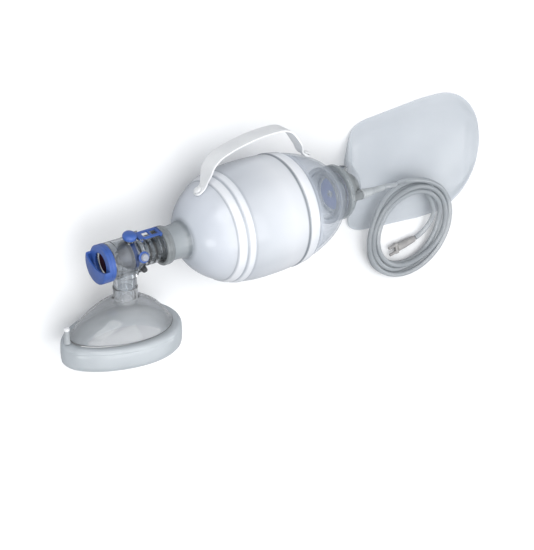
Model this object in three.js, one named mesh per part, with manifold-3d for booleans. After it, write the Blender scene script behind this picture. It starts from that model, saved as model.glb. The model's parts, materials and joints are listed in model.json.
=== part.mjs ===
// An adult bag valve mask (manual resuscitator) lying on a table, as it comes to rest by itself:
// the belly of the bag and the side edge of the mask touch the table, and the gas reservoir and
// its oxygen tube lie flat behind it. Millimetres, +Z up.
//
// Two sets of axes are used. The table's own: +X along the bag from the patient valve towards the
// reservoir, +Z up. And the device's: the same X, with "up" pointing out of the top of the patient
// valve, away from the mask. The device is rolled about X by ROLL until its mask touches the table.
import * as THREE from 'three';
import { mergeVertices } from 'three/addons/utils/BufferGeometryUtils.js';
import Module from 'manifold-3d';

const wasm = await Module();
wasm.setup();

// ---- Driving dimensions ------------------------------------------------------------------------
const GAP = 0.3;                 // clearance between pieces that touch
const ROLL = 80.2;               // degrees that the device is rolled about the bag's axis

const BAG_RADIUS = 65.5;         // widest outside radius of the bag
const BAG_MIDDLE = 165;          // station of the widest ring, from the mask port's axis
const BAG_FRONT = 95;            // length of the front shoulder
const BAG_REAR = 120;            // length of the rear shoulder
const BAG_WALL = 2.4;            // silicone wall
const BAG_FULLNESS = 2.4;        // exponent of the shoulders' curve

const PORT_X = 2;                // station of the patient port
const BODY_RADIUS = 20.2;        // patient valve body, outside
const CONE_22 = 11;              // radius of the 22 mm cone
const CONE_15 = 7.6;             // radius inside the 15 mm cone
const SLEEVE_RADIUS = 15.6;      // clear swivel sleeve
const NECK_RADIUS = 18.5;        // front neck of the bag

const REAR_NECK = 30.7;          // rear neck of the bag, outside radius
const INTAKE_RADIUS = 27.8;      // intake tube, outside radius
const NIPPLE_RADIUS = 24;        // distance of the oxygen inlet from the bag's axis
const NIPPLE_TURN = 86;          // degrees from the device's up direction, towards the front side

const MASK_LENGTH = 69;          // half the mask's length
const MASK_WIDTH = 48.5;         // half its width
const MASK_TAPER = 0.2;          // how much wider the chin end is than the nose end
const MASK_X = -6;               // middle of the mask's outline
const MASK_BASE = -107;          // level of the cushion's sealing face

const RESERVOIR_START = 307.3;   // end of the reservoir's neck
const RESERVOIR_END = 574.5;     // far end of the reservoir
const RESERVOIR_Y = -15;         // its middle line on the table
const RESERVOIR_HALF_WIDTH = 76;
const RESERVOIR_THICK = 5.5;     // half its thickness
const RESERVOIR_SHEAR = 0.1;     // how much it leans forwards, per millimetre to its far side

const TUBE_RADIUS = 3;           // oxygen tube
const COIL_X = 433;              // middle of the coiled tube
const COIL_Y = -93;
const COIL_OUTER = 66;
const COIL_INNER = 45;
const COIL_STRETCH = 1.09;       // the coil is longer along X than across it
const COIL_HEIGHT = 12.5;
const COIL_LEAN = 9;             // degrees: its far side leans on the reservoir

// ---- Finishes ----------------------------------------------------------------------------------
const finish = (color, roughness, opacity = 1) => new THREE.MeshStandardMaterial({
  color, roughness, metalness: 0, opacity, transparent: opacity < 1,
});
const clearPlastic = finish(0xc9d3dc, 0.12, 0.45);
const greyPlastic = finish(0xa7b1b5, 0.3, 0.8);
const bluePlastic = finish(0x3c5fae, 0.35);
const blueSilicone = finish(0x6f86c4, 0.5, 0.8);
const maroonSilicone = finish(0x4a1a1e, 0.5);
const silicone = finish(0xdfe3ea, 0.4, 0.6);
const whiteSilicone = finish(0xe6e9ea, 0.45, 0.85);
const softVinyl = finish(0xb9c1c7, 0.3, 0.6);
const film = finish(0xcdd5dd, 0.3, 0.5);
const tubeVinyl = finish(0xc3c9cd, 0.2, 0.6);
const darkRubber = finish(0x3b3f44, 0.6);
const steel = finish(0xb8bcc0, 0.3);

// ---- Solids ------------------------------------------------------------------------------------
const radians = THREE.MathUtils.degToRad;

/** Merges a geometry's corners, drops its flat triangles and turns its faces outwards. */
function closed(geometry) {
  geometry.deleteAttribute('normal');
  geometry.deleteAttribute('uv');
  const merged = mergeVertices(geometry, 1e-4);
  const corner = (i) => new THREE.Vector3().fromBufferAttribute(merged.attributes.position, i);
  const faces = [];
  let volume = 0;
  for (let i = 0; i < merged.index.count; i += 3) {
    const [a, b, c] = [0, 1, 2].map((k) => merged.index.getX(i + k));
    if (a === b || b === c || c === a) continue;
    faces.push([a, b, c]);
    volume += corner(a).dot(corner(b).cross(corner(c)));
  }
  merged.setIndex((volume < 0 ? faces.map(([a, b, c]) => [a, c, b]) : faces).flat());
  return merged;
}

function toManifold(geometry) {
  const { attributes, index } = closed(geometry);
  return new wasm.Manifold(new wasm.Mesh({
    numProp: 3,
    vertProperties: new Float32Array(attributes.position.array),
    triVerts: new Uint32Array(index.array),
  }));
}

function fromManifold(body) {
  const { vertProperties, triVerts } = body.getMesh();
  const geometry = new THREE.BufferGeometry();
  geometry.setAttribute('position', new THREE.BufferAttribute(vertProperties, 3));
  geometry.setIndex(new THREE.BufferAttribute(triVerts, 1));
  return geometry;
}

/** Joins every geometry in add and takes away every geometry in cut. */
function shaped(add, cut = []) {
  let body = toManifold(add[0]);
  for (const piece of add.slice(1)) body = body.add(toManifold(piece));
  for (const piece of cut) body = body.subtract(toManifold(piece));
  return fromManifold(body);
}

/** Turns a closed profile of [station, radius] pairs about X. */
function turnedX(profile, segments = 20) {
  const points = profile.map(([station, radius]) => new THREE.Vector2(radius, station));
  return closed(new THREE.LatheGeometry(points, segments).rotateZ(-Math.PI / 2));
}

/** Turns a closed profile of [height, radius] pairs about Z. */
function turnedZ(profile, segments = 14) {
  const points = profile.map(([height, radius]) => new THREE.Vector2(radius, height));
  return closed(new THREE.LatheGeometry(points, segments).rotateX(Math.PI / 2));
}

const rod = (from, to, radius) => [[from, 0], [from, radius], [to, radius], [to, 0]];
const ring = (from, to, inner, outer) => [
  [from, inner], [from, outer], [to, outer], [to, inner], [from, inner],
];

/** Moves a piece that stands along Z to a station on the bag's axis, turned about that axis. */
const outwards = (geometry, x, turn) => geometry.translate(x, 0, 0).rotateX(radians(turn));

/** Skins a row of outlines with equally many points, as an end-capped or a ring-closed body. */
function lofted(outlines, joinEnds = false) {
  const count = outlines[0].length;
  const position = outlines.flat().flatMap((p) => [p.x, p.y, p.z]);
  const index = [];
  const spans = joinEnds ? outlines.length : outlines.length - 1;
  for (let i = 0; i < spans; i++) {
    const next = (i + 1) % outlines.length;
    for (let j = 0; j < count; j++) {
      const a = i * count + j;
      const b = i * count + ((j + 1) % count);
      const c = next * count + ((j + 1) % count);
      const d = next * count + j;
      index.push(a, b, c, a, c, d);
    }
  }
  if (!joinEnds) {
    for (let j = 1; j < count - 1; j++) {
      const last = (outlines.length - 1) * count;
      index.push(0, j + 1, j, last, last + j, last + j + 1);
    }
  }
  const geometry = new THREE.BufferGeometry();
  geometry.setAttribute('position', new THREE.Float32BufferAttribute(position, 3));
  geometry.setIndex(index);
  return closed(geometry);
}

/** A round cord along a smooth curve through its points. */
function cord(points, radius, sides, steps) {
  const path = new THREE.CatmullRomCurve3(points.map((p) => new THREE.Vector3(...p)));
  const section = new THREE.Shape();
  for (let i = 0; i < sides; i++) {
    const angle = (i / sides) * 2 * Math.PI;
    const corner = [radius * Math.cos(angle), radius * Math.sin(angle)];
    if (i === 0) section.moveTo(...corner);
    else section.lineTo(...corner);
  }
  return closed(new THREE.ExtrudeGeometry(section, { steps, extrudePath: path }));
}

const table = new THREE.Group();
const device = new THREE.Group();
device.rotation.x = radians(-ROLL);
const bagAxis = new THREE.Group();
bagAxis.position.z = BAG_RADIUS;
bagAxis.add(device);
table.add(bagAxis);

function piece(parent, name, geometry, material) {
  const mesh = new THREE.Mesh(geometry, material);
  mesh.name = name;
  parent.add(mesh);
  return mesh;
}

// ---- Mask --------------------------------------------------------------------------------------
/** The mask's egg outline at a height, blended from a circle round the port (0) to its rim (1). */
function maskOutline(height, spread, length, width) {
  const corners = 26;
  const outline = [];
  for (let i = 0; i < corners; i++) {
    const angle = (i / corners) * 2 * Math.PI;
    const [c, s] = [Math.cos(angle), Math.sin(angle)];
    outline.push(new THREE.Vector3(
      THREE.MathUtils.lerp(PORT_X, MASK_X, spread) + length * c,
      width * s * (1 + MASK_TAPER * spread * c),
      height,
    ));
  }
  return outline;
}

const MASK_NECK = 12.9;
const MASK_TOP = -33.5;
const DOME_TOP = -47.5;
const DOME_RIM = -79.2;
const DOME_LENGTH = 59;
const DOME_WIDTH = 40;
const DOME_WALL = 2;

/** One level of the dome, from its neck (0) to its rim (1), drawn in by the wall's thickness. */
function domeLevel(t, inset) {
  const rise = 0.45 * t + 0.55 * t ** 2.6;
  const height = DOME_TOP + (DOME_RIM - DOME_TOP) * rise - (t < 1 ? inset : 0);
  const neck = MASK_NECK - inset * 0.8;
  return maskOutline(height, t, THREE.MathUtils.lerp(neck, DOME_LENGTH - inset, t),
    THREE.MathUtils.lerp(neck, DOME_WIDTH - inset, t));
}

const domeSteps = [0, 0.2, 0.4, 0.6, 0.8, 0.92, 1];
piece(device, 'mask_dome', lofted([
  maskOutline(MASK_TOP, 0, MASK_NECK, MASK_NECK),
  ...domeSteps.map((t) => domeLevel(t, 0)),
  ...domeSteps.toReversed().map((t) => domeLevel(t, DOME_WALL)),
  maskOutline(MASK_TOP, 0, CONE_22 + GAP, CONE_22 + GAP),
], true), clearPlastic);

const cushionLevel = (height, inset) => maskOutline(height, 1, MASK_LENGTH - inset, MASK_WIDTH - inset);
piece(device, 'mask_cushion', lofted([
  cushionLevel(-80.5, 4), cushionLevel(-84, 0.8), cushionLevel(-94, 0), cushionLevel(-103, 0.6),
  cushionLevel(MASK_BASE, 4), cushionLevel(MASK_BASE, 11), cushionLevel(-101, 16),
  cushionLevel(-90, 17.5), cushionLevel(-81, 12), cushionLevel(DOME_RIM - GAP, 8),
], true), softVinyl);

const INFLATION_X = -69.2;
const inflation = (profile) => turnedZ(profile, 16).translate(INFLATION_X, 0, 0);
piece(device, 'inflation_valve', inflation([
  [-79.2, 0], [-79.2, 3.5], [-77.6, 3.5], [-77, 3.1], [-64.6, 2.8], [-64.6, 1.9], [-77.5, 1.9], [-77.5, 0],
]), clearPlastic);
piece(device, 'inflation_plug', inflation([
  [-69, 0], [-69, 1.6], [-64.3, 1.6], [-64.3, 3.2], [-61, 3], [-61, 0],
]), whiteSilicone);

// ---- Patient valve -----------------------------------------------------------------------------
const SPIGOT = 17.9;              // front spigot that carries the exhaust deflector
const BODY_FRONT = -18.7;
const BODY_BACK = 10;
const BODY_BORE = 17.8;
const RELIEF_X = 5.2;
const RELIEF_TURN = 14;

const spokes = (count, x0, x1, reach, width) => Array.from({ length: count }, (_, i) => (
  new THREE.BoxGeometry(x1 - x0, width, reach).translate((x0 + x1) / 2, 0, reach / 2)
    .rotateX((i / count) * 2 * Math.PI)
));
const portRod = (from, to, radius) => turnedZ(rod(from, to, radius), 20).translate(PORT_X, 0, 0);
const reliefRod = (from, to, radius) => (
  outwards(turnedZ(rod(from, to, radius), 14), RELIEF_X, RELIEF_TURN)
);

piece(device, 'valve_body', shaped([
  shaped([
    turnedX([[-24, 0], [-24, SPIGOT], [BODY_FRONT, SPIGOT], [BODY_FRONT, BODY_RADIUS],
      [BODY_BACK, BODY_RADIUS], [BODY_BACK, 0]], 26),
    portRod(MASK_TOP + GAP, -10, 12.4), portRod(-47.5, -20, CONE_22), reliefRod(17, 22.6, 4.6),
  ], [
    turnedX(rod(-25, BODY_BACK + 1, BODY_BORE), 26),
    turnedX(rod(BODY_BACK, 16, BODY_RADIUS + 0.6), 26),
    portRod(-60, 0, CONE_15), reliefRod(16, 21.8, 3.4), reliefRod(21, 24, 1.4),
  ]),
  turnedX(ring(-24, -16.5, 15, SPIGOT), 26),
  turnedX(ring(-18, -16.5, 11.5, 16), 14),
  ...spokes(3, -18, -16.5, 12, 2),
  turnedX(rod(-18, -16.5, 3.2), 10),
], [turnedX(rod(-19, -15, 1.5), 12)]), clearPlastic);

const SHIELD_TURN = 11;            // how far the deflector is turned round from level
const shieldCut = new THREE.BoxGeometry(12, 60, 40).translate(-32, 0, 18.2);
piece(device, 'exhaust_deflector', shaped([
  turnedX([[-27, 15.5], [-27, 20.5], [-19, 20.5], [-19, SPIGOT + GAP], [-24.3, SPIGOT + GAP],
    [-24.3, 15.5], [-27, 15.5]], 26),
  shaped([turnedX([[-33, 0], [-33, 19.5], [-32, 20.5], [-26, 20.5], [-26, 18.6], [-31, 18.6],
    [-31, 0]], 26).rotateX(radians(-SHIELD_TURN))],
  [shieldCut.rotateX(radians(-SHIELD_TURN))]),
]), bluePlastic);

piece(device, 'exhaust_membrane', turnedX([
  [-20.1, 0], [-20.1, 13.6], [-18.3, 14.2], [-18.3, 1.2], [-15.1, 1.2], [-15.1, 2.2], [-14.3, 2.2],
  [-14.3, 0],
]), maroonSilicone);

piece(device, 'lip_valve', turnedX([
  [4.9, 17.2], [3.6, 17.2], [3.6, 12.2], [1, 11.8], [-12, 2.6], [-12, 1.4], [-11.2, 1.4], [2.2, 10.8],
  [4.9, 11], [4.9, 17.2],
]), silicone);

piece(device, 'valve_seat', shaped([
  turnedX(ring(5.2, 9.7, 12.5, 17.5)), ...spokes(4, 7.7, 9.7, 13, 2.4), turnedX(rod(7.7, 9.7, 4), 10),
], [reliefRod(11, 18, 2)]), bluePlastic);

// The relief valve: a sprung disc on a stem that lifts the round blue knob when it blows off.
piece(device, 'relief_disc', outwards(turnedZ([
  [18.1, 0], [18.1, 3.1], [19.1, 3.1], [19.1, 1], [24.6, 1], [24.6, 0],
], 14), RELIEF_X, RELIEF_TURN), darkRubber);
piece(device, 'relief_knob', outwards(turnedZ([
  [24.9, 0], [24.9, 1.3], [22.9, 1.3], [22.9, 5.4], [24.2, 7.2], [27, 7.5], [29, 6.4], [30.2, 3.6],
  [30.4, 0],
], 12), RELIEF_X, RELIEF_TURN), bluePlastic);

class Helix extends THREE.Curve {
  constructor(radius, from, to, turns) {
    super();
    Object.assign(this, { radius, from, to, turns });
  }

  getPoint(t, target = new THREE.Vector3()) {
    const angle = t * this.turns * 2 * Math.PI;
    return target.set(this.radius * Math.cos(angle), this.radius * Math.sin(angle),
      THREE.MathUtils.lerp(this.from, this.to, t));
  }
}
const wire = new THREE.Shape();
wire.absarc(0, 0, 0.25, 0, 2 * Math.PI);
piece(device, 'relief_spring', outwards(closed(new THREE.ExtrudeGeometry(wire, {
  steps: 24, curveSegments: 2, extrudePath: new Helix(2.4, 19.5, 21.4, 3),
})), RELIEF_X, RELIEF_TURN), steel);

// The inlet housing carries the lever that holds the relief valve shut, and two side ports.
const LEVER_X = 16.6;
const LEVER_HEIGHT = 21.6;
const SAMPLE_TURN = 76;
const SMALL_PORT_TURN = 113;
const PORTS_X = 13;
const acrossRod = (x, height, from, to, radius) => turnedZ(rod(from, to, radius), 10)
  .rotateX(Math.PI / 2).translate(x, 0, height).rotateX(radians(RELIEF_TURN));
const ear = (side) => new THREE.BoxGeometry(4.4, 1.7, 9)
  .translate(LEVER_X, side * 7.2, LEVER_HEIGHT - 2.6).rotateX(radians(RELIEF_TURN));
piece(device, 'inlet_housing', shaped([
  turnedX([[BODY_BACK + GAP, 0], [BODY_BACK + GAP, BODY_RADIUS], [15.5, BODY_RADIUS], [19.1, 16.4],
    [19.1, 12.6], [41, 12.6], [41, 0]], 26),
  ear(1), ear(-1),
  outwards(turnedZ(rod(15, 24, 2.5), 10), PORTS_X, SAMPLE_TURN),
  outwards(turnedZ(rod(15, 22.5, 2), 10), PORTS_X, SMALL_PORT_TURN),
], [
  turnedX(rod(BODY_BACK, 14, 16.5), 26), turnedX(rod(13, 42, 10.6), 14),
  turnedX(ring(26, 28, 11.8, 13), 14), turnedX(ring(33, 35, 11.8, 13), 14),
  acrossRod(LEVER_X, LEVER_HEIGHT, -9, 9, 1.35),
]), clearPlastic);
for (const [name, x] of [['swivel_seal_front', 27], ['swivel_seal_rear', 34]]) {
  piece(device, name, turnedX(ring(x - 0.8, x + 0.8, 12.2, 14), 14), darkRubber);
}

const leverPlate = new THREE.BoxGeometry(27, 12, 1.8).translate(28.2, 0, 22.3);
const leverWindow = (x) => new THREE.BoxGeometry(8, 7, 4).translate(x, 0, 22.3);
piece(device, 'relief_lever', shaped([
  shaped([leverPlate, new THREE.BoxGeometry(2.6, 12, 4).translate(40.6, 0, 21.2)],
    [leverWindow(24.5), leverWindow(34.5)]).rotateX(radians(RELIEF_TURN)),
  acrossRod(LEVER_X, LEVER_HEIGHT, -7.7, 7.7, 1),
]), bluePlastic);

piece(device, 'sample_port_strap', outwards(turnedZ(ring(20.6, 22.2, 2.9, 6.2), 24), PORTS_X, SAMPLE_TURN),
  bluePlastic);
piece(device, 'sample_port_cap', outwards(turnedZ([
  [24.3, 0], [24.3, 2.6], [22.6, 2.9], [22.6, 4.1], [25.6, 3.6], [25.6, 0],
], 14), PORTS_X, SAMPLE_TURN), whiteSilicone);
piece(device, 'pressure_port_cap', outwards(turnedZ([
  [22.8, 0], [22.8, 2.3], [20.6, 2.3], [20.6, 3.2], [24.6, 3], [25.4, 2], [25.4, 0],
], 14), PORTS_X, SMALL_PORT_TURN), darkRubber);

// ---- Bag and its front neck --------------------------------------------------------------------
/** Outside radius of the bag's shoulders at a station. */
function bagRadius(x) {
  const reach = Math.abs(x - BAG_MIDDLE) / (x < BAG_MIDDLE ? BAG_FRONT : BAG_REAR);
  return BAG_RADIUS * Math.sqrt(Math.max(0, 1 - reach ** BAG_FULLNESS));
}

piece(bagAxis, 'neck_connector', turnedX([
  [19.5, 14.3], [19.5, SLEEVE_RADIUS], [42.8, SLEEVE_RADIUS], [42.8, 17.2], [45.6, 17.2], [45.6, 15.6],
  [69, 15.9], [69, 14.3], [19.5, 14.3],
]), clearPlastic);
piece(bagAxis, 'neck_lock_ring', turnedX([
  [43.4, 17.5], [43.4, 20.4], [44.6, 21], [51.2, 21], [52.6, 20], [52.6, NECK_RADIUS + GAP],
  [46.1, NECK_RADIUS + GAP], [46.1, 17.5], [43.4, 17.5],
], 26), greyPlastic);

const shoulder = (stations, inset) => stations.map((x) => [x, bagRadius(x) - inset]);
const stations = [76, 80, 87, 96, 107, 118, 130, 147, 165, 183, 194.5];
const rearStations = [212.5, 226, 240, 252, 262, 267.5];
const bandStations = [196, 204, 211];
const bagOutside = [
  [46.4, 17.1], [46.4, NECK_RADIUS - 0.2], [60, NECK_RADIUS + 0.2], [69, 19.6], [72, 20.3],
  ...shoulder(stations, 0), ...shoulder(bandStations, -1), ...shoulder(rearStations, 0),
  [271.5, REAR_NECK], [280.7, REAR_NECK], [280.7, INTAKE_RADIUS + GAP], [270.5, INTAKE_RADIUS + GAP],
];
const bagInside = shoulder([267.5, 252, 226, 196, 165, 130, 107, 90, 80], BAG_WALL);
piece(bagAxis, 'bag_shell', turnedX([
  ...bagOutside, ...bagInside, [73, 16.6], [46.4, 17.1],
], 28), silicone);

// ---- Carrying strap ----------------------------------------------------------------------------
const STRAP_WIDTH = 20;
const STRAP_THICK = 1.8;
const TAB_WIDTH = 11;
const EYE_RADIUS = 3;
const EYE_LIFT = 2.4;             // height of a tab's middle above the bag

/** Where a tab lies on the bag's shoulder: its eye, and the lean of the surface there. */
function strapEye(x) {
  const slope = bagRadius(x + 0.5) - bagRadius(x - 0.5);
  const lean = Math.atan2(-slope, 1);
  return { x: x + EYE_LIFT * Math.sin(lean), z: bagRadius(x) + EYE_LIFT * Math.cos(lean), lean };
}
const frontEye = strapEye(96.3);
const rearEye = strapEye(237);
const atEye = (geometry, { x, z, lean }) => geometry.rotateY(lean).translate(x, 0, z);
const strapRun = [
  [frontEye.x, frontEye.z], [100.3, 54.6], [103.2, 63], [107.5, 75], [117, 84], [131.7, 89.7],
  [151, 94.2], [168, 96.8], [186.5, 97.9], [201, 97], [211.5, 92], [220, 82], [226.5, 71.5],
  [229.6, 63.5], [rearEye.x, rearEye.z],
];

/** A flat band bent along [station, height] points: narrow at its tabs, wide between them. */
function band(points) {
  const path = new THREE.CatmullRomCurve3(points.map(([x, z]) => new THREE.Vector3(x, 0, z)));
  const steps = 34;
  const sections = path.getSpacedPoints(steps).map((point, i) => {
    const tangent = path.getTangentAt(i / steps);
    const normal = new THREE.Vector3(-tangent.z, 0, tangent.x).multiplyScalar(STRAP_THICK / 2);
    const fromEnd = Math.min(i, steps - i) / steps;
    const widening = THREE.MathUtils.smoothstep(fromEnd, 0.04, 0.14);
    const width = THREE.MathUtils.lerp(TAB_WIDTH, STRAP_WIDTH, widening);
    return [[-1, -1], [1, -1], [1, 1], [-1, 1]].map(([side, face]) => (
      point.clone().addScaledVector(normal, face).add(new THREE.Vector3(0, side * width / 2, 0))
    ));
  });
  return lofted(sections);
}
const eyes = [frontEye, rearEye];
const tab = () => turnedZ(rod(-STRAP_THICK / 2, STRAP_THICK / 2, TAB_WIDTH / 2), 10);
piece(device, 'handle_strap', shaped(
  [band(strapRun), ...eyes.map((eye) => atEye(tab(), eye))],
  eyes.map((eye) => atEye(turnedZ(rod(-3, 3, EYE_RADIUS), 10), eye)),
), whiteSilicone);

/** A mushroom stud that stands on the bag and holds a tab by its eye. */
const stud = () => turnedZ([
  [0.5 - EYE_LIFT, 0], [0.5 - EYE_LIFT, 2.2], [2.3, 2.2], [2.3, 4.4], [3.2, 4.2], [4.2, 2.6], [4.4, 0],
], 12);
piece(device, 'strap_stud_front', atEye(stud(), frontEye), whiteSilicone);
piece(device, 'strap_stud_rear', atEye(stud(), rearEye), whiteSilicone);

// ---- Intake valve and reservoir valve ----------------------------------------------------------
const TUBE_END = 286.8;           // rear end of the intake tube
const INTAKE_BORE = 25.2;
const around = (count, make) => Array.from({ length: count }, (_, i) => (
  make().rotateX((i / count) * 2 * Math.PI)
));
piece(bagAxis, 'intake_housing', shaped([
  turnedX([[264, INTAKE_BORE], [264, 32.6], [267.5, 32.6], [267.5, INTAKE_RADIUS],
    [TUBE_END, INTAKE_RADIUS], [TUBE_END, INTAKE_BORE], [264, INTAKE_BORE]], 26),
  turnedX(rod(278, 280.5, 26.4), 26),
], [
  ...around(6, () => turnedX(rod(276, 283, 4.3), 10).translate(0, 0, 13)),
  turnedX(rod(276, 283, 2), 12),
]), clearPlastic);
piece(bagAxis, 'intake_disc', turnedX(ring(276.3, 277.7, 2.2, 18.5)), blueSilicone);
piece(bagAxis, 'intake_pin', turnedX([
  [272.6, 0], [272.6, 3], [273.4, 4.5], [274.2, 4.5], [274.2, 1.7], [280.8, 1.7], [280.8, 3], [282, 2.6],
  [282, 0],
], 14), clearPlastic);
piece(bagAxis, 'rear_lock_ring', turnedX([
  [281, INTAKE_RADIUS + GAP], [281, 31.2], [282, 32], [285.5, 32], [286.5, 31],
  [286.5, INTAKE_RADIUS + GAP], [281, INTAKE_RADIUS + GAP],
], 26), greyPlastic);

const DRUM_RADIUS = 24;
const DRUM_START = 287.1;
const DRUM_END = 297;
const SPIGOT_END = 306.5;         // end of the neck that the reservoir is tied to
const PODS_X = 292;
const NIPPLE_BASE = 4.9;
const atNipple = (geometry) => geometry.translate(0, 0, NIPPLE_RADIUS).rotateX(radians(NIPPLE_TURN));
const podRod = (from, to, radius, turn) => outwards(turnedZ(rod(from, to, radius), 14), PODS_X, turn);
const AIR_TURN = 180;
piece(device, 'reservoir_valve_housing', shaped([
  turnedX([[DRUM_START, 0], [DRUM_START, 29.5], [288.4, 30], [289.6, 29.5], [289.6, DRUM_RADIUS],
    [DRUM_END - 1, DRUM_RADIUS], [DRUM_END, DRUM_RADIUS - 1], [DRUM_END, 14.5], [SPIGOT_END, 14.5],
    [SPIGOT_END, 0]], 26),
  podRod(20, 29.5, 4.9, 0), podRod(20, 29.5, 4.9, AIR_TURN), atNipple(turnedX(rod(289.4, 300, 5.6), 20)),
], [
  turnedX(rod(DRUM_START - 1, DRUM_END - 2, 22), 26), turnedX(rod(293, SPIGOT_END + 1, 12.8), 14),
  podRod(15, 31, 2.6, 0), podRod(26, 28.6, 4.1, 0),
  podRod(15, 31, 2.6, AIR_TURN), podRod(25.4, 28, 4.1, AIR_TURN),
  atNipple(turnedX(rod(294, 301, NIPPLE_BASE - 0.6), 20)),
]), greyPlastic);
piece(device, 'overflow_disc', outwards(turnedZ(rod(26.3, 27.1, 3.7), 14), PODS_X, 0), blueSilicone);
piece(device, 'air_inlet_disc', outwards(turnedZ(rod(26.9, 27.7, 3.7), 14), PODS_X, AIR_TURN), blueSilicone);
piece(device, 'oxygen_nipple', atNipple(turnedX([
  [294.3, 1.4], [294.3, 4], [303, 4], [303, 2.9], [307, 3.1], [307, 2.4], [311, 3.1], [311, 2.4],
  [315, 2.6], [316, 2.2], [316, 1.4], [294.3, 1.4],
], 14)), clearPlastic);
piece(bagAxis, 'reservoir_collar', turnedX([
  [297.4, 14.8], [297.4, 16.8], [298.2, 17.4], [305.2, 17.4], [306, 16.8], [306, 14.8], [297.4, 14.8],
]), greyPlastic);

// ---- Reservoir bag -----------------------------------------------------------------------------
/** One upright section across the reservoir: half width, half height, its middle and its lean. */
function reservoirSection(x, width, height, y, z, shear = 0) {
  const corners = 28;
  const outline = [];
  for (let i = 0; i < corners; i++) {
    const angle = (i / corners) * 2 * Math.PI;
    const soft = (value, power) => Math.sign(value) * Math.abs(value) ** power;
    const across = width * soft(Math.cos(angle), 0.8);
    outline.push(new THREE.Vector3(
      x + shear * across, y + across, z + height * soft(Math.sin(angle), 0.8),
    ));
  }
  return outline;
}

/** The film hangs from the neck, lands on the table and lies there as a flat rounded pillow. */
const throat = [[RESERVOIR_START, 14, 13.2, 0, 65.5], [313, 15, 13, -0.5, 62.5], [322, 17, 12, -2, 51],
  [331, 21, 10.5, -4.5, 36], [339, 27, 8.8, -8, 20]];
const LANDING = 350;
const NEAR_CORNER = 30;
const FAR_CORNER = 78;
const NARROWING = 10;             // how much narrower it is at its near end
const WIDENING_RUN = 120;
function pillow(x) {
  const near = Math.min(1, (x - LANDING) / NEAR_CORNER);
  const far = Math.min(1, (RESERVOIR_END - x) / FAR_CORNER);
  const widening = Math.min(1, (x - LANDING) / WIDENING_RUN) - 1;
  const nearWidth = RESERVOIR_HALF_WIDTH + NARROWING * widening
    - 20 * (1 - Math.sqrt(1 - (1 - near) ** 2));
  const farShare = Math.sqrt(1 - (1 - far) ** 2);
  const width = nearWidth * (0.06 + 0.94 * farShare);
  const height = RESERVOIR_THICK * Math.min(1, 0.15 + 0.85 * Math.min(1, far * 2.2));
  return [x, width, height, RESERVOIR_Y, height, RESERVOIR_SHEAR];
}
const pillowStations = [LANDING + 2, 358, 368, 384, 420, 460, 497, 520, 540, 555, 565, 571, RESERVOIR_END];
piece(table, 'reservoir_bag', lofted([...throat, ...pillowStations.map(pillow)]
  .map((values) => reservoirSection(...values))), film);

// ---- Oxygen tube -------------------------------------------------------------------------------
const CONE_END = 334;
piece(device, 'tube_cone', atNipple(turnedX([
  [300.3, NIPPLE_BASE - 0.6], [300.3, 5.9], [311, 5.4], [317, 4.2], [CONE_END, 3.5], [CONE_END, 1.6],
  [316.6, 1.6], [316.6, 3.4], [303.4, 3.4], [303.4, NIPPLE_BASE - 0.6], [300.3, NIPPLE_BASE - 0.6],
], 14)), tubeVinyl);

const coilRing = turnedZ(ring(-COIL_HEIGHT / 2, COIL_HEIGHT / 2, COIL_INNER, COIL_OUTER), 26);
const lean = radians(COIL_LEAN);
const COIL_Z = GAP + COIL_OUTER * Math.sin(lean) + (COIL_HEIGHT / 2) * Math.cos(lean);
coilRing.scale(COIL_STRETCH, 1, 1).rotateX(lean).translate(COIL_X, COIL_Y, COIL_Z);
piece(table, 'tube_coil', coilRing, tubeVinyl);

const leadRun = [[334.7, -2.1, 89.4], [346, -3.2, 87.6], [359, -7, 80.5], [374, -12.2, 66.5],
  [389, -16.6, 53.5], [405, -21, 42], [420, -25, 32.8]];
piece(table, 'oxygen_tube', cord(leadRun, TUBE_RADIUS, 10, 14), tubeVinyl);

const tailRun = [[477, -84.5, 16.2], [475.8, -92, 13], [473, -100, 9.2], [467, -107.5, 6.6],
  [459.5, -112.3, 5.6], [451.6, -114.6, 5.4]];
piece(table, 'tube_tail', cord(tailRun, TUBE_RADIUS, 10, 8), tubeVinyl);

// The supply end: a cone with two short prongs, resting on the table inside the coil.
const connectorTurn = radians(189);
const atConnector = (geometry) => geometry.rotateZ(connectorTurn).translate(451.2, -114.7, 5.4);
const prong = (side) => turnedX(rod(31, 43, 1.9), 10).translate(0, side * 4.6, 0);
piece(table, 'supply_connector', atConnector(shaped([
  turnedX([[0.2, 0], [0.2, 3.6], [14, 4.4], [16, 5], [30, 5], [30, 0]], 12),
  new THREE.BoxGeometry(4, 13.4, 4).translate(31, 0, 0), prong(1), prong(-1),
])), greyPlastic);

// ---- Reference point ---------------------------------------------------------------------------
// The origin is on the table, under the middle of everything but the free tube.
const cordPieces = ['tube_cone', 'oxygen_tube', 'tube_coil', 'tube_tail', 'supply_connector'];
table.updateMatrixWorld(true);
const extent = new THREE.Box3();
table.traverse((object) => {
  if (object.isMesh && !cordPieces.includes(object.name)) extent.expandByObject(object, true);
});
const middle = extent.getCenter(new THREE.Vector3());
table.position.set(-middle.x, -middle.y, -extent.min.z);

const bagValveMask = new THREE.Group();
bagValveMask.add(table);
export default bagValveMask;
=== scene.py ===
"""An adult bag valve mask, lying on a table as it comes to rest: mask, patient valve, bag with its
strap, intake valve, gas reservoir and coiled oxygen tube. Metres; profiles are in millimetres."""
import json
from math import atan2, copysign, cos, hypot, radians, sin, sqrt, tau

import bpy
from mathutils import Matrix, Vector


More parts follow.
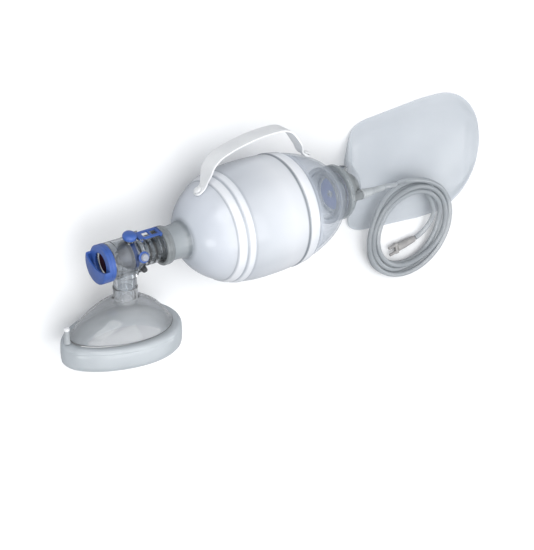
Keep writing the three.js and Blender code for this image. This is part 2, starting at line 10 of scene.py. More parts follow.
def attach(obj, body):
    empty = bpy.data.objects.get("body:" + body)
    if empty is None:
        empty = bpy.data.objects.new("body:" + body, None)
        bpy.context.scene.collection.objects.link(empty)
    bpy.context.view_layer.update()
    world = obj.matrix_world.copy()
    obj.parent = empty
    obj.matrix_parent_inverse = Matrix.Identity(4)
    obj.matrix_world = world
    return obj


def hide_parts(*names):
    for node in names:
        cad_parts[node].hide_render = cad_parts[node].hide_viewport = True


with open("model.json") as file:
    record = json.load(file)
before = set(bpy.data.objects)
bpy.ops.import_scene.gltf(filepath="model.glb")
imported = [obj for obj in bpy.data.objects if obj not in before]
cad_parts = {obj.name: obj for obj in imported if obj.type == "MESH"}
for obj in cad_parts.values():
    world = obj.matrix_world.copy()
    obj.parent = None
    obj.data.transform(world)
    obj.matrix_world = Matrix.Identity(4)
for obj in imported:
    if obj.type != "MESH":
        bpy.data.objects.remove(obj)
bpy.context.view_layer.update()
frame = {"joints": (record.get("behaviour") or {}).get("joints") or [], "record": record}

# ---- Axes ----
# The device has its own axes: stations run along the bag's axis from the mask's port, and UP points
# out of the patient valve's top, away from the mask. Both come from the mask's swivel joint.
MM = 0.001
PORT_STATION = 2
PORT_JOINT_LEVEL = -40
BAG_RADIUS = 65.5
joints = {joint["name"]: joint for joint in frame["joints"]}
ALONG = Vector((1, 0, 0))
UP = Vector(joints["mask_swivel"]["axis"]).normalized()
ACROSS = UP.cross(ALONG)
START = (Vector(joints["mask_swivel"]["pos_m"]) - UP * PORT_JOINT_LEVEL * MM
         - ALONG * PORT_STATION * MM)


def at(station, across=0, up=0):
    """A point in the device's axes."""
    return START + (ALONG * station + ACROSS * across + UP * up) * MM


def on_table(x, y, z):
    """A point in the table's axes: the same stations, with heights from the table."""
    return START + Vector((x, y, z - BAG_RADIUS)) * MM


def outward(turn):
    """The direction away from the bag's axis, turned from UP towards the oxygen inlet's side."""
    return UP * cos(radians(turn)) - ACROSS * sin(radians(turn))


# ---- Camera, table and light ----
# A long lens looks down on the device from above its patient valve. The table is a plain pale
# sheet that throws back only part of the light, so that clear parts keep their depth. One large
# soft box hangs overhead, with three weak ones round it. The walls are dark near the table.
TOWARDS_CAMERA = Vector((-0.5341, 0.3464, 0.7713)).normalized()
VIEW_UP = Vector((0.2697, 0.9344, -0.2329))
CAMERA_PLACE = Vector((-0.8905, 0.4673, 1.2481))
LENS = 89.8
SENSOR_WIDTH = 36


def placed(name, data):
    """A new object in the scene, from a mesh, a curve, a lamp or a camera."""
    made = bpy.data.objects.new(name, data)
    bpy.context.scene.collection.objects.link(made)
    return made


view_right = VIEW_UP.cross(TOWARDS_CAMERA).normalized()
view_up = TOWARDS_CAMERA.cross(view_right)
camera_data = bpy.data.cameras.new("camera")
camera_data.lens = LENS
camera_data.sensor_width = SENSOR_WIDTH
camera = placed("camera", camera_data)
turn = Matrix((view_right, view_up, TOWARDS_CAMERA)).transposed()
camera.matrix_world = Matrix.Translation(CAMERA_PLACE) @ turn.to_4x4()
bpy.context.scene.camera = camera


def only(*objects):
    """Deselects everything, selects these and makes the first one active."""
    bpy.ops.object.select_all(action="DESELECT")
    for each in objects:
        each.select_set(True)
    bpy.context.view_layer.objects.active = objects[0]


def settings(node, **values):
    """Sets a node's own sockets. Keywords name them, with _ for a space."""
    for socket, value in values.items():
        node.inputs[socket.replace("_", " ")].default_value = value
    return node


def wire(source, output, sink, socket):
    """Links one node's output to another's socket."""
    source.id_data.links.new(source.outputs[output], sink.inputs[socket])


TABLE_SIZE = 9
TABLE_DROP = 0.0006
LIGHT_THROWN_BACK = (0.44, 0.45, 0.465, 1)
TABLE_COLOUR = (0.955, 0.96, 0.965, 1)
bpy.ops.object.select_all(action="DESELECT")
bpy.ops.mesh.primitive_plane_add(size=TABLE_SIZE, location=(0, 0, -TABLE_DROP))
floor = bpy.context.active_object
floor.name = "table_sheet"
paper = bpy.data.materials.new("table_sheet")
paper.use_nodes = True
paper_shader = paper.node_tree.nodes["Principled BSDF"]
seen = paper.node_tree.nodes.new("ShaderNodeLightPath")
bright = paper.node_tree.nodes.new("ShaderNodeMix")
bright.data_type = "RGBA"
settings(bright, A=LIGHT_THROWN_BACK, B=TABLE_COLOUR)
wire(seen, "Is Camera Ray", bright, "Factor")
wire(bright, "Result", paper_shader, "Base Color")
settings(paper_shader, Roughness=0.7)
floor.data.materials.append(paper)

# Soft boxes: name, place, the point it faces, size and power.
LAMPS = [("overhead", (-0.45, -0.1, 1.9), (0, 0, 0), 2, 23),
         ("front", (-0.9, 1.1, 1.1), (-0.1, 0, 0.05), 0.9, 7),
         ("left_side", (-1.7, -0.5, 0.8), (-0.1, 0, 0.05), 0.5, 3),
         ("right_side", (1.6, -0.6, 1), (0.1, 0, 0.05), 0.5, 2.5)]
for name, place, aim, size, power in LAMPS:
    data = bpy.data.lights.new(name, "AREA")
    data.size = size
    data.energy = power
    lamp = placed(name, data)
    lamp.location = place
    lamp.rotation_euler = (Vector(aim) - Vector(place)).to_track_quat("-Z", "Y").to_euler()
world = bpy.data.worlds.new("studio")
world.use_nodes = True
sky = world.node_tree.nodes["Background"]
settings(sky, Strength=0.8)
direction = world.node_tree.nodes.new("ShaderNodeTexCoord")
heights = world.node_tree.nodes.new("ShaderNodeSeparateXYZ")
walls = world.node_tree.nodes.new("ShaderNodeValToRGB")
for stop, (height, colour) in zip(walls.color_ramp.elements, [
        (0.12, (0.15, 0.157, 0.17, 1)), (0.62, (0.95, 0.97, 1, 1))]):
    stop.position = height
    stop.color = colour
wire(direction, "Generated", heights, "Vector")
wire(heights, "Z", walls, "Fac")
wire(walls, "Color", sky, "Color")
bpy.context.scene.world = world
bpy.context.scene.view_settings.view_transform = "Standard"
cycles = bpy.context.scene.cycles
cycles.transparent_max_bounces = 32
cycles.transmission_bounces = 16
cycles.max_bounces = 20
cycles.caustics_reflective = cycles.caustics_refractive = False

# ---- Oxygen tube ----
# Two metres of clear vinyl tube, 6 mm across. It leaves its cone at the reservoir valve, drops to
# the table and is wound there into a flat coil of five turns, whose far side leans on the
# reservoir. Its free end comes out inside the coil and carries the supply connector.
TUBE_RADIUS = 3


def surface_group():
    """The look of a moulded surface: uneven tint, handling marks in the gloss, and fine grain."""
    group = bpy.data.node_groups.new("moulded_surface", "ShaderNodeTree")
    sockets = [("INPUT", "Vector", ["Vector"]), ("INPUT", "Color", ["Colour", "Shade"]),
               ("INPUT", "Float", ["Cloud Size", "Roughness", "Marks", "Grain Size"]),
               ("OUTPUT", "Color", ["Colour"]), ("OUTPUT", "Float", ["Roughness", "Height"])]
    for way, kind, names in sockets:
        for name in names:
            group.interface.new_socket(name, in_out=way, socket_type="NodeSocket" + kind)
    nodes = group.nodes
    given = nodes.new("NodeGroupInput")
    made = nodes.new("NodeGroupOutput")
    cloud, marks, grain = (nodes.new("ShaderNodeTexNoise") for _ in range(3))
    settings(cloud, Detail=3)
    settings(marks, Scale=170, Detail=6, Roughness=0.65)
    settings(grain, Detail=2)
    for noise in (cloud, marks, grain):
        wire(given, "Vector", noise, "Vector")
    wire(given, "Cloud Size", cloud, "Scale")
    wire(given, "Grain Size", grain, "Scale")
    spread = settings(nodes.new("ShaderNodeMapRange"), From_Min=0.35, From_Max=0.65)
    wire(cloud, "Fac", spread, "Value")
    tint = nodes.new("ShaderNodeMix")
    tint.data_type = "RGBA"
    wire(spread, "Result", tint, "Factor")
    wire(given, "Colour", tint, "A")
    wire(given, "Shade", tint, "B")
    wire(tint, "Result", made, "Colour")
    smudge = nodes.new("ShaderNodeMath")
    smudge.operation = "MULTIPLY_ADD"
    wire(marks, "Fac", smudge, 0)
    wire(given, "Marks", smudge, 1)
    wire(given, "Roughness", smudge, 2)
    wire(smudge, "Value", made, "Roughness")
    wire(grain, "Fac", made, "Height")
    return group


moulded_surface = surface_group()


def moulding(name, colour, shade, roughness, marks=0.1, grain=1500, bump=0.00004, cloud=30,
             **uniform):
    """A moulded material. Keywords set the shader's own sockets, with _ for a space."""
    material = bpy.data.materials.new(name)
    material.use_nodes = True
    nodes = material.node_tree.nodes
    shader = nodes["Principled BSDF"]
    place = nodes.new("ShaderNodeTexCoord")
    surface = nodes.new("ShaderNodeGroup")
    surface.node_tree = moulded_surface
    settings(surface, Colour=(*colour, 1), Shade=(*shade, 1), Cloud_Size=cloud,
             Roughness=roughness, Marks=marks, Grain_Size=grain)
    relief = settings(nodes.new("ShaderNodeBump"), Strength=0.5, Distance=bump)
    wire(place, "Object", surface, "Vector")
    wire(surface, "Colour", shader, "Base Color")
    wire(surface, "Roughness", shader, "Roughness")
    wire(surface, "Height", relief, "Height")
    wire(relief, "Normal", shader, "Normal")
    settings(shader, **uniform)
    return material


def clear_wall(material, facing, edge, blend=0.4):
    """Makes a thin wall see-through: how solid it looks face on, and at its edges."""
    nodes = material.node_tree.nodes
    slant = settings(nodes.new("ShaderNodeLayerWeight"), Blend=blend)
    solid = settings(nodes.new("ShaderNodeMapRange"), To_Min=facing, To_Max=edge)
    wire(slant, "Facing", solid, "Value")
    wire(solid, "Result", nodes["Principled BSDF"], "Alpha")
    return material


def clear_solid(material, light_passed=0.8, clearness=1):
    """Glass-like: the wall bends what is seen through it, and lamps shine through it."""
    nodes = material.node_tree.nodes
    shader = nodes["Principled BSDF"]
    settings(shader, Transmission_Weight=clearness)
    ray = nodes.new("ShaderNodeLightPath")
    block = nodes.new("ShaderNodeMath")
    block.operation = "MULTIPLY_ADD"
    block.inputs[1].default_value = -light_passed
    block.inputs[2].default_value = 1
    wire(ray, "Is Shadow Ray", block, 0)
    wire(block, "Value", shader, "Alpha")
    return material


body_of = {node: body for body, nodes in frame["record"]["behaviour"]["bodies"].items()
           for node in nodes}


def stands_for(piece, node, material):
    """Puts a finished piece in a CAD node's place, on its body and in its material slot."""
    piece.data.materials.clear()
    piece.data.materials.append(material)
    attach(piece, body_of[node])
    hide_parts(node)
    return piece


tube_vinyl = clear_wall(moulding(
    "tube_vinyl", (0.50, 0.53, 0.555), (0.40, 0.43, 0.455), 0.1, marks=0.08, cloud=14,
    Specular_IOR_Level=0.8), 0.50, 0.96, 0.5)

COIL_MIDDLE = on_table(433, -93, 16.8)
COIL_STRETCH = 1.09
COIL_LEAN = radians(9)
TURNS_WOUND = 5.256
FIRST_ANGLE = radians(103)
POINTS_A_TURN = 24
# Each turn's radius and height in the coil, and where it crosses over into the next one's place.
LAID = [(61.6, 3.15), (61.6, -3.15), (55.2, -3.15), (55.2, 3.15), (48.8, 3.15), (48.8, -3.15)]
CROSSINGS = [0.82, 1.66, 2.5, 3.34, 4.18]
CROSSING = 0.15
# The lead comes in from outside the coil and above it, and the tail leaves inwards: after how many
# turns, and how far aside and up.
JOINED_BY, LEAD_REACH, LEAD_RISE = 0.13, 8.4, 1.9
LEFT_FROM, TAIL_REACH, TAIL_RISE = 5.08, 8, 1.2


def smooth(share):
    """Eases a share from 0 to 1."""
    share = min(max(share, 0), 1)
    return share * share * (3 - 2 * share)


def coil_point(turned):
    """A point of the coil after so many turns, from where the lead joins it."""
    radius, height = LAID[0]
    for begin, (next_radius, next_height) in zip(CROSSINGS, LAID[1:]):
        share = smooth((turned - begin) / CROSSING)
        radius += (next_radius - radius) * share
        height += (next_height - height) * share
    joining = max(0, 1 - turned / JOINED_BY) ** 2
    leaving = smooth((turned - LEFT_FROM) / (TURNS_WOUND - LEFT_FROM))
    radius += LEAD_REACH * joining - TAIL_REACH * leaving
    height += LEAD_RISE * joining + TAIL_RISE * leaving
    angle = FIRST_ANGLE - turned * tau
    flat = Vector((radius * COIL_STRETCH * cos(angle), radius * sin(angle), height)) * MM
    return COIL_MIDDLE + Matrix.Rotation(COIL_LEAN, 3, "X") @ flat


lead_run = [(333, -2.2, 89.4), (339.5, -2.4, 89), (346, -3.2, 87.6), (352.5, -4.9, 84.6),
            (359, -7, 80.5), (366.5, -9.6, 73.7), (374, -12.2, 66.5), (381.5, -14.5, 59.7),
            (389, -16.6, 53.5), (397, -18.8, 47.5), (405, -21, 42), (412.5, -23.2, 37.1)]
tail_run = [(475.4, -92, 13.6), (472.4, -100.2, 10), (467, -107.2, 7.1), (459.8, -112, 5.7),
            (453, -114.3, 5.4)]
winding = [coil_point(step / POINTS_A_TURN)
           for step in range(1, int(TURNS_WOUND * POINTS_A_TURN) + 1)]
route = [on_table(*p) for p in lead_run] + winding + [on_table(*p) for p in tail_run]
tube_curve = bpy.data.curves.new("supply_tube", "CURVE")
tube_curve.dimensions = "3D"
tube_curve.bevel_depth = TUBE_RADIUS * MM
tube_curve.bevel_resolution = 5
tube_curve.resolution_u = 4
tube_curve.use_fill_caps = True
run = tube_curve.splines.new("BEZIER")
run.bezier_points.add(len(route) - 1)
for knot, place in zip(run.bezier_points, route):
    knot.co = place
    knot.handle_left_type = knot.handle_right_type = "AUTO"
tube = placed("supply_tube", tube_curve)
stands_for(tube, "oxygen_tube", tube_vinyl)
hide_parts("tube_coil", "tube_tail")


def meshed(name, corners, edges, faces):
    mesh = bpy.data.meshes.new(name)
    mesh.from_pydata(corners, edges, faces)
    return placed(name, mesh)


def spun(name, profile, centre=START, axis=ALONG, out=UP, steps=96):
    """Spins a closed profile of (along the axis, radius) pairs, as a rule about the bag's axis."""
    corners = [centre + (axis * along + out * radius) * MM for along, radius in profile]
    on_axis = profile[0][1] == 0 and profile[-1][1] == 0
    edges = [(i, i + 1) for i in range(len(corners) - 1)]
    if not on_axis:
        edges.append((len(corners) - 1, 0))
    piece = meshed(name, corners, edges, [])
    only(piece)
    bpy.ops.object.mode_set(mode="EDIT")
    bpy.ops.mesh.select_all(action="SELECT")
    bpy.ops.mesh.spin(steps=steps, angle=tau, center=centre, axis=axis)
    bpy.ops.mesh.select_all(action="SELECT")
    bpy.ops.mesh.remove_doubles(threshold=0.000004)
    bpy.ops.mesh.normals_make_consistent(inside=False)
    bpy.ops.object.mode_set(mode="OBJECT")
    return piece


def modified(piece, kind, **settings):
    """Adds a modifier with these settings and applies it."""
    only(piece)
    modifier = piece.modifiers.new(kind.lower(), kind)
    for name, value in settings.items():
        setattr(modifier, name, value)
    bpy.ops.object.modifier_apply(modifier=modifier.name)
    return piece


def rounded(piece, width, segments=3, angle=28):
    """Rounds every sharp edge and smooths the rest."""
    modified(piece, "BEVEL", width=width * MM, segments=segments, limit_method="ANGLE",
             angle_limit=radians(angle), harden_normals=False, use_clamp_overlap=True)
    only(piece)
    bpy.ops.object.shade_smooth_by_angle(angle=radians(35))
    return piece


def joined(piece, *others, how="UNION"):
    """Joins other closed pieces to a piece and removes them."""
    for other in others:
        modified(piece, "BOOLEAN", object=other, operation=how, solver="EXACT")
        bpy.data.objects.remove(other)
    return piece


def cut(piece, *others):
    """Cuts other closed pieces out of a piece."""
    return joined(piece, *others, how="DIFFERENCE")


def block(length, width, height, place):
    """A box of this size, moved and turned by a matrix."""
    bpy.ops.object.select_all(action="DESELECT")
    bpy.ops.mesh.primitive_cube_add(size=1)
    box = bpy.context.active_object
    box.data.transform(Matrix.Diagonal((length * MM, width * MM, height * MM, 1)))
    box.data.transform(place)
    return box


def turned_piece(name, profile, steps=96, across=0, up=0, round_off=0.25):
    """A piece turned about the bag's axis, or about a line beside it, with its edges rounded."""
    return rounded(spun(name, profile, at(0, across, up), steps=steps), round_off)


def radial_piece(name, profile, station, turn, steps=48, round_off=0.2):
    """A small piece turned about a line that points away from the bag's axis."""
    piece = spun(name, profile, at(station), outward(turn), ALONG, steps)
    return rounded(piece, round_off) if round_off else piece


# The cone on the tube's end pushes over the inlet's barb: soft vinyl that tapers to the tube.
INLET_TURN = 86
INLET_RADIUS = 24
inlet = {"across": -INLET_RADIUS * sin(radians(INLET_TURN)),
         "up": INLET_RADIUS * cos(radians(INLET_TURN))}
vinyl_moulding = clear_wall(moulding(
    "vinyl_moulding", (0.62, 0.65, 0.67), (0.50, 0.53, 0.55), 0.12, cloud=60,
    Specular_IOR_Level=0.8), 0.55, 0.98, 0.45)
cone = turned_piece("tube_end_cone", [
    (300.3, 4.3), (300.3, 6), (302, 6), (302.4, 5.5), (304, 5.5), (304.4, 5.9), (306, 5.8),
    (306.4, 5.4), (311, 5.2), (317, 4.2), (318, 4.5), (319.2, 4.4), (320, 4), (333.4, 3.5),
    (334, 3.2), (334, 3), (316.6, 3), (303.4, 3.6)], 48, **inlet, round_off=0.15)
stands_for(cone, "tube_cone", vinyl_moulding)

# The supply connector is a grey moulding with a ribbed grip and two prongs. It lies on the table
# inside the coil.
CONNECTOR_TURN = radians(189)
connector_along = Vector((cos(CONNECTOR_TURN), sin(CONNECTOR_TURN), 0))
connector_side = Vector((-connector_along.y, connector_along.x, 0))
connector_start = on_table(451.2, -114.7, 5.4)
connector_grey = moulding(
    "connector_grey", (0.40, 0.39, 0.38), (0.31, 0.30, 0.30), 0.28, cloud=90, Coat_Weight=0.3)
grip = [(0.2, 0), (0.2, 3.2), (0.8, 3.7)]
for rib in range(5):
    grip += [(2 + 2.4 * rib, 3.8 + 0.1 * rib), (2.5 + 2.4 * rib, 4.2 + 0.1 * rib),
             (3.5 + 2.4 * rib, 4.2 + 0.1 * rib), (4 + 2.4 * rib, 3.9 + 0.1 * rib)]
grip += [(16, 5), (28.8, 5), (29.8, 4.2), (29.8, 0)]
connector = spun("connector_body", grip, connector_start, connector_along, Vector((0, 0, 1)), 48)
bridge = block(4, 13.2, 3.8, Matrix.Translation(connector_start + connector_along * 31 * MM)
               @ Matrix.Rotation(CONNECTOR_TURN, 4, "Z"))
PRONG_ASIDE = 4.6
prongs = [spun("prong", [
    (31, 0), (31, 1.9), (39, 1.9), (39.4, 1.5), (40, 1.5), (40.4, 1.9), (42.2, 1.9), (42.9, 1.3),
    (42.9, 0)], connector_start + connector_side * side * MM, connector_along, Vector((0, 0, 1)),
    32) for side in (PRONG_ASIDE, -PRONG_ASIDE)]
rounded(joined(connector, bridge, *prongs), 0.25)
stands_for(connector, "supply_connector", connector_grey)

# ---- Mask ----
# The dome is one clear hard moulding: a 22 mm neck that flares into an egg-shaped shell with a
# flat rim. The soft cushion is glued round that rim; it is filled with air by a small valve.
MASK_MIDDLE = -6
MASK_TAPER = 0.2
NECK_RADIUS = 12.9
DOME_LENGTH = 59
DOME_WIDTH = 40
DOME_STEPS = 20
PORT = at(PORT_STATION)
clear_shell = clear_solid(moulding(
    "clear_shell", (0.955, 0.965, 0.975), (0.91, 0.925, 0.94), 0.02, marks=0.05, cloud=22,
    IOR=1.36), 0.9, 0.91)


def along_port(name, profile, steps=72):
    """Spins a profile about the mask's and the port's common axis."""
    return spun(name, profile, PORT, UP, ALONG, steps)


def egg(piece, width_at, spread_at):
    """Draws a round turned shape out into the mask's egg outline, wider towards the chin."""
    for corner in piece.data.vertices:
        offset = (corner.co - PORT) / MM
        x, y, z = offset.dot(ALONG), offset.dot(ACROSS), offset.dot(UP)
        length = hypot(x, y)
        spread = spread_at(length)
        middle = PORT_STATION + (MASK_MIDDLE - PORT_STATION) * spread
        share = x / length if length else 0
        across = y / length * width_at(length) * (1 + MASK_TAPER * spread * share) if length else 0
        corner.co = at(middle + x, across, z)
    piece.data.update()


def dome_spread(length):
    return min(max((length - NECK_RADIUS) / (DOME_LENGTH - NECK_RADIUS), 0), 1)


def dome_width(length):
    if length <= NECK_RADIUS:
        return length
    return length + (DOME_WIDTH - DOME_LENGTH) * dome_spread(length)


def dome_level(share):
    """Height of the dome's outside, from its neck (0) to its rim (1)."""
    return -47.5 - 31.7 * (0.45 * share + 0.55 * share ** 2.6)


dome_outside = [(dome_level(i / DOME_STEPS),
                 NECK_RADIUS + (DOME_LENGTH - NECK_RADIUS) * i / DOME_STEPS)
                for i in range(DOME_STEPS)]
dome_inside = [(height - 1.9, radius - 1.6) for height, radius in reversed(dome_outside[1:])]
dome = along_port("clear_dome", [
    (-33.5, 11.4), (-33.5, 12.6), (-34.2, 13.3), (-35.6, 13.3), (-36.3, NECK_RADIUS),
    (-46.8, NECK_RADIUS), *dome_outside, (-78.2, DOME_LENGTH), (-79.2, DOME_LENGTH),
    (-79.2, DOME_LENGTH - 1.9), *dome_inside, (-48.2, 11.5)], 128)
egg(dome, dome_width, dome_spread)
stands_for(rounded(dome, 0.3), "mask_dome", clear_shell)

soft_cushion = moulding(
    "soft_cushion", (0.56, 0.60, 0.63), (0.47, 0.51, 0.54), 0.14, marks=0.12, cloud=16, grain=900,
    Specular_IOR_Level=0.7)
clear_wall(soft_cushion, 0.66, 0.98, 0.5)
CUSHION_LENGTH = 69
CUSHION_WIDTH = 48.5
cushion = along_port("air_cushion", [
    (-80.4, 63.5), (-80.6, 65.4), (-81.6, 67.2), (-83.4, 68.2), (-85.2, 68.5), (-85.8, 68.2),
    (-86.4, 68.5), (-90, 68.8), (-95, 68.9), (-100, 68.7), (-103.4, 68.1), (-105.4, 66.6),
    (-106.6, 64.6), (-107, 62), (-106.8, 59.4), (-105.6, 56.6), (-103, 54.2), (-99, 52.6),
    (-94, 51.9), (-89, 52.1), (-85, 53.4), (-82, 55.8), (-80.4, 59)], 144)
egg(cushion, lambda length: length + CUSHION_WIDTH - CUSHION_LENGTH, lambda length: 1)
rounded(cushion, 0.1, angle=60)
stands_for(cushion, "mask_cushion", soft_cushion)

# The inflation valve is a clear stub on the nose end of the cushion, closed by a milky plug.
INFLATION = at(-69.2)
valve_stub = rounded(spun("inflation_stub", [
    (-79.2, 0), (-79.2, 3.5), (-77.6, 3.5), (-77, 3.1), (-70, 2.9), (-69.6, 3.1), (-68.8, 3.1),
    (-68.4, 2.8), (-64.6, 2.8), (-64.6, 1.9), (-77.5, 1.9), (-77.5, 0)],
    INFLATION, UP, ALONG, 40), 0.15)
stands_for(valve_stub, "inflation_valve", vinyl_moulding)
milky_silicone = clear_wall(moulding(
    "milky_silicone", (0.93, 0.94, 0.945), (0.86, 0.87, 0.88), 0.3, marks=0.12, cloud=40), 0.84, 1)
plug = rounded(spun("stub_plug", [
    (-69, 0), (-69, 1.5), (-64.3, 1.6), (-64.3, 2.9), (-63.9, 3.2), (-62, 3.2), (-61.3, 2.8),
    (-61, 2), (-61, 0)], INFLATION, UP, ALONG, 40), 0.15)
stands_for(plug, "inflation_plug", milky_silicone)

# ---- Patient valve ----
# The valve body is a clear polysulfone moulding: a drum on the bag's axis, a port underneath it
# with a 15 mm bore inside a 22 mm cone, a spoked seat for the exhaust membrane at its front and a
# short stub on top for the relief valve.
BODY_RADIUS = 20.2
BODY_BORE = 17.8
SPIGOT = 17.9
RELIEF_STATION = 5.2
RELIEF_TURN = 14
clear_drum = clear_solid(moulding(
    "clear_drum", (0.93, 0.95, 0.97), (0.87, 0.90, 0.93), 0.0, marks=0.04, cloud=35, IOR=1.5))
body = spun("valve_drum", [
    (-24, 0), (-24, SPIGOT), (-18.7, SPIGOT), (-18.7, BODY_RADIUS - 0.6), (-18.1, BODY_RADIUS),
    (-13.2, BODY_RADIUS), (-12.8, BODY_RADIUS - 0.35), (-12.2, BODY_RADIUS - 0.35),
    (-11.8, BODY_RADIUS), (3, BODY_RADIUS), (3.4, BODY_RADIUS - 0.35), (4, BODY_RADIUS - 0.35),
    (4.4, BODY_RADIUS), (9.4, BODY_RADIUS), (10, BODY_RADIUS - 0.6), (10, 0)])
port = along_port("port", [
    (-47.5, 0), (-47.5, 10.6), (-46.8, 11), (-33.9, 11.2), (-33.2, 11.8), (-33.2, 12.2),
    (-32.7, 12.4), (-24, 12.4), (-21, 13.2), (-19, 14.8), (-10, 14.8), (-10, 0)])
relief_stub = radial_piece("stub", [
    (17, 0), (17, 4.6), (22.2, 4.6), (22.6, 4.2), (22.6, 0)], RELIEF_STATION, RELIEF_TURN, 48, 0)
joined(body, port, relief_stub)
cut(body,
    spun("bore", [(-30, 0), (-30, BODY_BORE), (14, BODY_BORE), (14, 0)]),
    along_port("port_bore", [(-50, 0), (-50, 7.6), (0, 7.6), (0, 0)]),
    radial_piece("stub_bore", [(10, 0), (10, 3.4), (21.8, 3.4), (21.8, 1.4), (25, 1.4), (25, 0)],
                 RELIEF_STATION, RELIEF_TURN, 40, 0))
seat = spun("seat", [
    (-24, 15), (-24, SPIGOT - 0.02), (-16.5, SPIGOT - 0.02), (-16.5, 11.5), (-18, 11.5),
    (-18, 15)])
hub = spun("hub", [(-18, 1.5), (-18, 3.2), (-16.5, 3.2), (-16.5, 1.5)], steps=32)
joined(body, seat)


def spoke(centre, length, width, reach_from, reach_to, angle):
    """A flat bar that runs outwards from the bag's axis, between two distances from it."""
    middle = (reach_from + reach_to) / 2
    direction = outward(angle)
    axes = Matrix((ALONG, direction.cross(ALONG), direction)).transposed()
    return block(length, width, reach_to - reach_from,
                 Matrix.Translation(at(centre) + direction * middle * MM) @ axes.to_4x4())


joined(body, *(spoke(-17.25, 1.5, 2, 2, 12.5, angle) for angle in (0, 120, 240)), hub)
stands_for(rounded(body, 0.22, 2), "valve_body", clear_drum)

# The exhaust deflector clips over the drum's front and turns on it. Its blue half shield sends the
# exhaled air down; behind it sits the dark red exhaust membrane.
SHIELD_TURN = 11
blue_plastic = moulding(
    "blue_plastic", (0.050, 0.125, 0.43), (0.038, 0.098, 0.35), 0.3, marks=0.14, cloud=60,
    grain=2200, Coat_Weight=0.25, Coat_Roughness=0.2)
deflector = spun("deflector_ring", [
    (-25.6, 12), (-27, 12.8), (-27, 20), (-26.5, 20.5), (-24.6, 20.5), (-24.4, 20.2),
    (-23.8, 20.2), (-23.6, 20.5), (-19.5, 20.5), (-19, 20), (-19, 18.3), (-24.3, 18.3),
    (-24.3, 14.6), (-21.8, 14.6), (-21.8, 14), (-24.6, 13.6), (-25, 12)])
shield = spun("shield", [
    (-33, 0), (-33, 18.6), (-32.6, 19.6), (-32, 20.2), (-31, 20.5), (-26, 20.5), (-26, 18.6),
    (-30.8, 18.6), (-31, 18.2), (-31, 0)])
OPENING_RADIUS = 34
opening_axis = at(0) + outward(SHIELD_TURN) * (OPENING_RADIUS - 3) * MM
open_half = spun("opening", [
    (-40, 0), (-40, OPENING_RADIUS), (-25, OPENING_RADIUS), (-25, 0)], opening_axis, ALONG,
    outward(SHIELD_TURN), 160)
cut(shield, open_half)
joined(deflector, shield)
stands_for(rounded(deflector, 0.3), "exhaust_deflector", blue_plastic)

dark_red = moulding(
    "dark_red_silicone", (0.055, 0.012, 0.017), (0.035, 0.008, 0.012), 0.38, cloud=120)
membrane = turned_piece("membrane", [
    (-20.1, 0), (-20.1, 4), (-19.8, 4.6), (-19.7, 9), (-20.1, 10), (-20.1, 13.2), (-19.7, 13.8),
    (-18.3, 14.2), (-18.3, 1.2), (-15.1, 1.2), (-15.1, 2.2), (-14.3, 2), (-14.3, 0)])
stands_for(membrane, "exhaust_membrane", dark_red)

clear_silicone = clear_wall(moulding(
    "clear_silicone", (0.62, 0.65, 0.70), (0.50, 0.53, 0.60), 0.3, cloud=60), 0.5, 0.95)
lips = turned_piece("duckbill", [
    (4.9, 17.2), (3.6, 17.2), (3.6, 12.4), (2.6, 12.1), (1, 11.8), (-12, 2.7), (-12.2, 1.9),
    (-12, 1.4), (-11.2, 1.4), (2.2, 10.8), (3.2, 11), (4.9, 11)])
stands_for(lips, "lip_valve", clear_silicone)

seat_ring = spun("spoked_seat", [
    (5.2, 12.5), (5.2, 17), (5.7, 17.5), (9.2, 17.5), (9.7, 17), (9.7, 12.5)])
seat_hub = spun("seat_hub", [(7.7, 0), (7.7, 4), (9.7, 4), (9.7, 0)], steps=40)
joined(seat_ring, *(spoke(8.7, 2, 2.4, 3, 13.4, angle) for angle in (0, 90, 180, 270)), seat_hub)
cut(seat_ring, radial_piece("clearance", [
    (11, 0), (11, 2), (18, 2), (18, 0)], RELIEF_STATION, RELIEF_TURN, 24, 0))
stands_for(rounded(seat_ring, 0.2), "valve_seat", blue_plastic)

# The relief valve opens above 60 mbar: a rubber disc on a stem, held down by a wire spring, lifts
# the round blue knob on top of it.
dark_rubber = moulding(
    "dark_rubber", (0.030, 0.032, 0.036), (0.045, 0.047, 0.05), 0.5, cloud=90, grain=2600,
    bump=0.00008)
disc = radial_piece("relief_plate", [
    (18.1, 0), (18.1, 2.8), (18.4, 3.1), (19.1, 3.1), (19.1, 1), (24.6, 1), (24.6, 0)],
    RELIEF_STATION, RELIEF_TURN)
stands_for(disc, "relief_disc", dark_rubber)
knob = radial_piece("blue_knob", [
    (24.9, 0), (24.9, 1.3), (22.9, 1.3), (22.9, 5.2), (23.4, 6.4), (24.2, 7.2), (25.4, 7.5),
    (26.8, 7.5), (28, 7.2), (29, 6.4), (29.8, 5), (30.2, 3.4), (30.4, 1.6), (30.4, 0)],
    RELIEF_STATION, RELIEF_TURN, 64)
stands_for(knob, "relief_knob", blue_plastic)

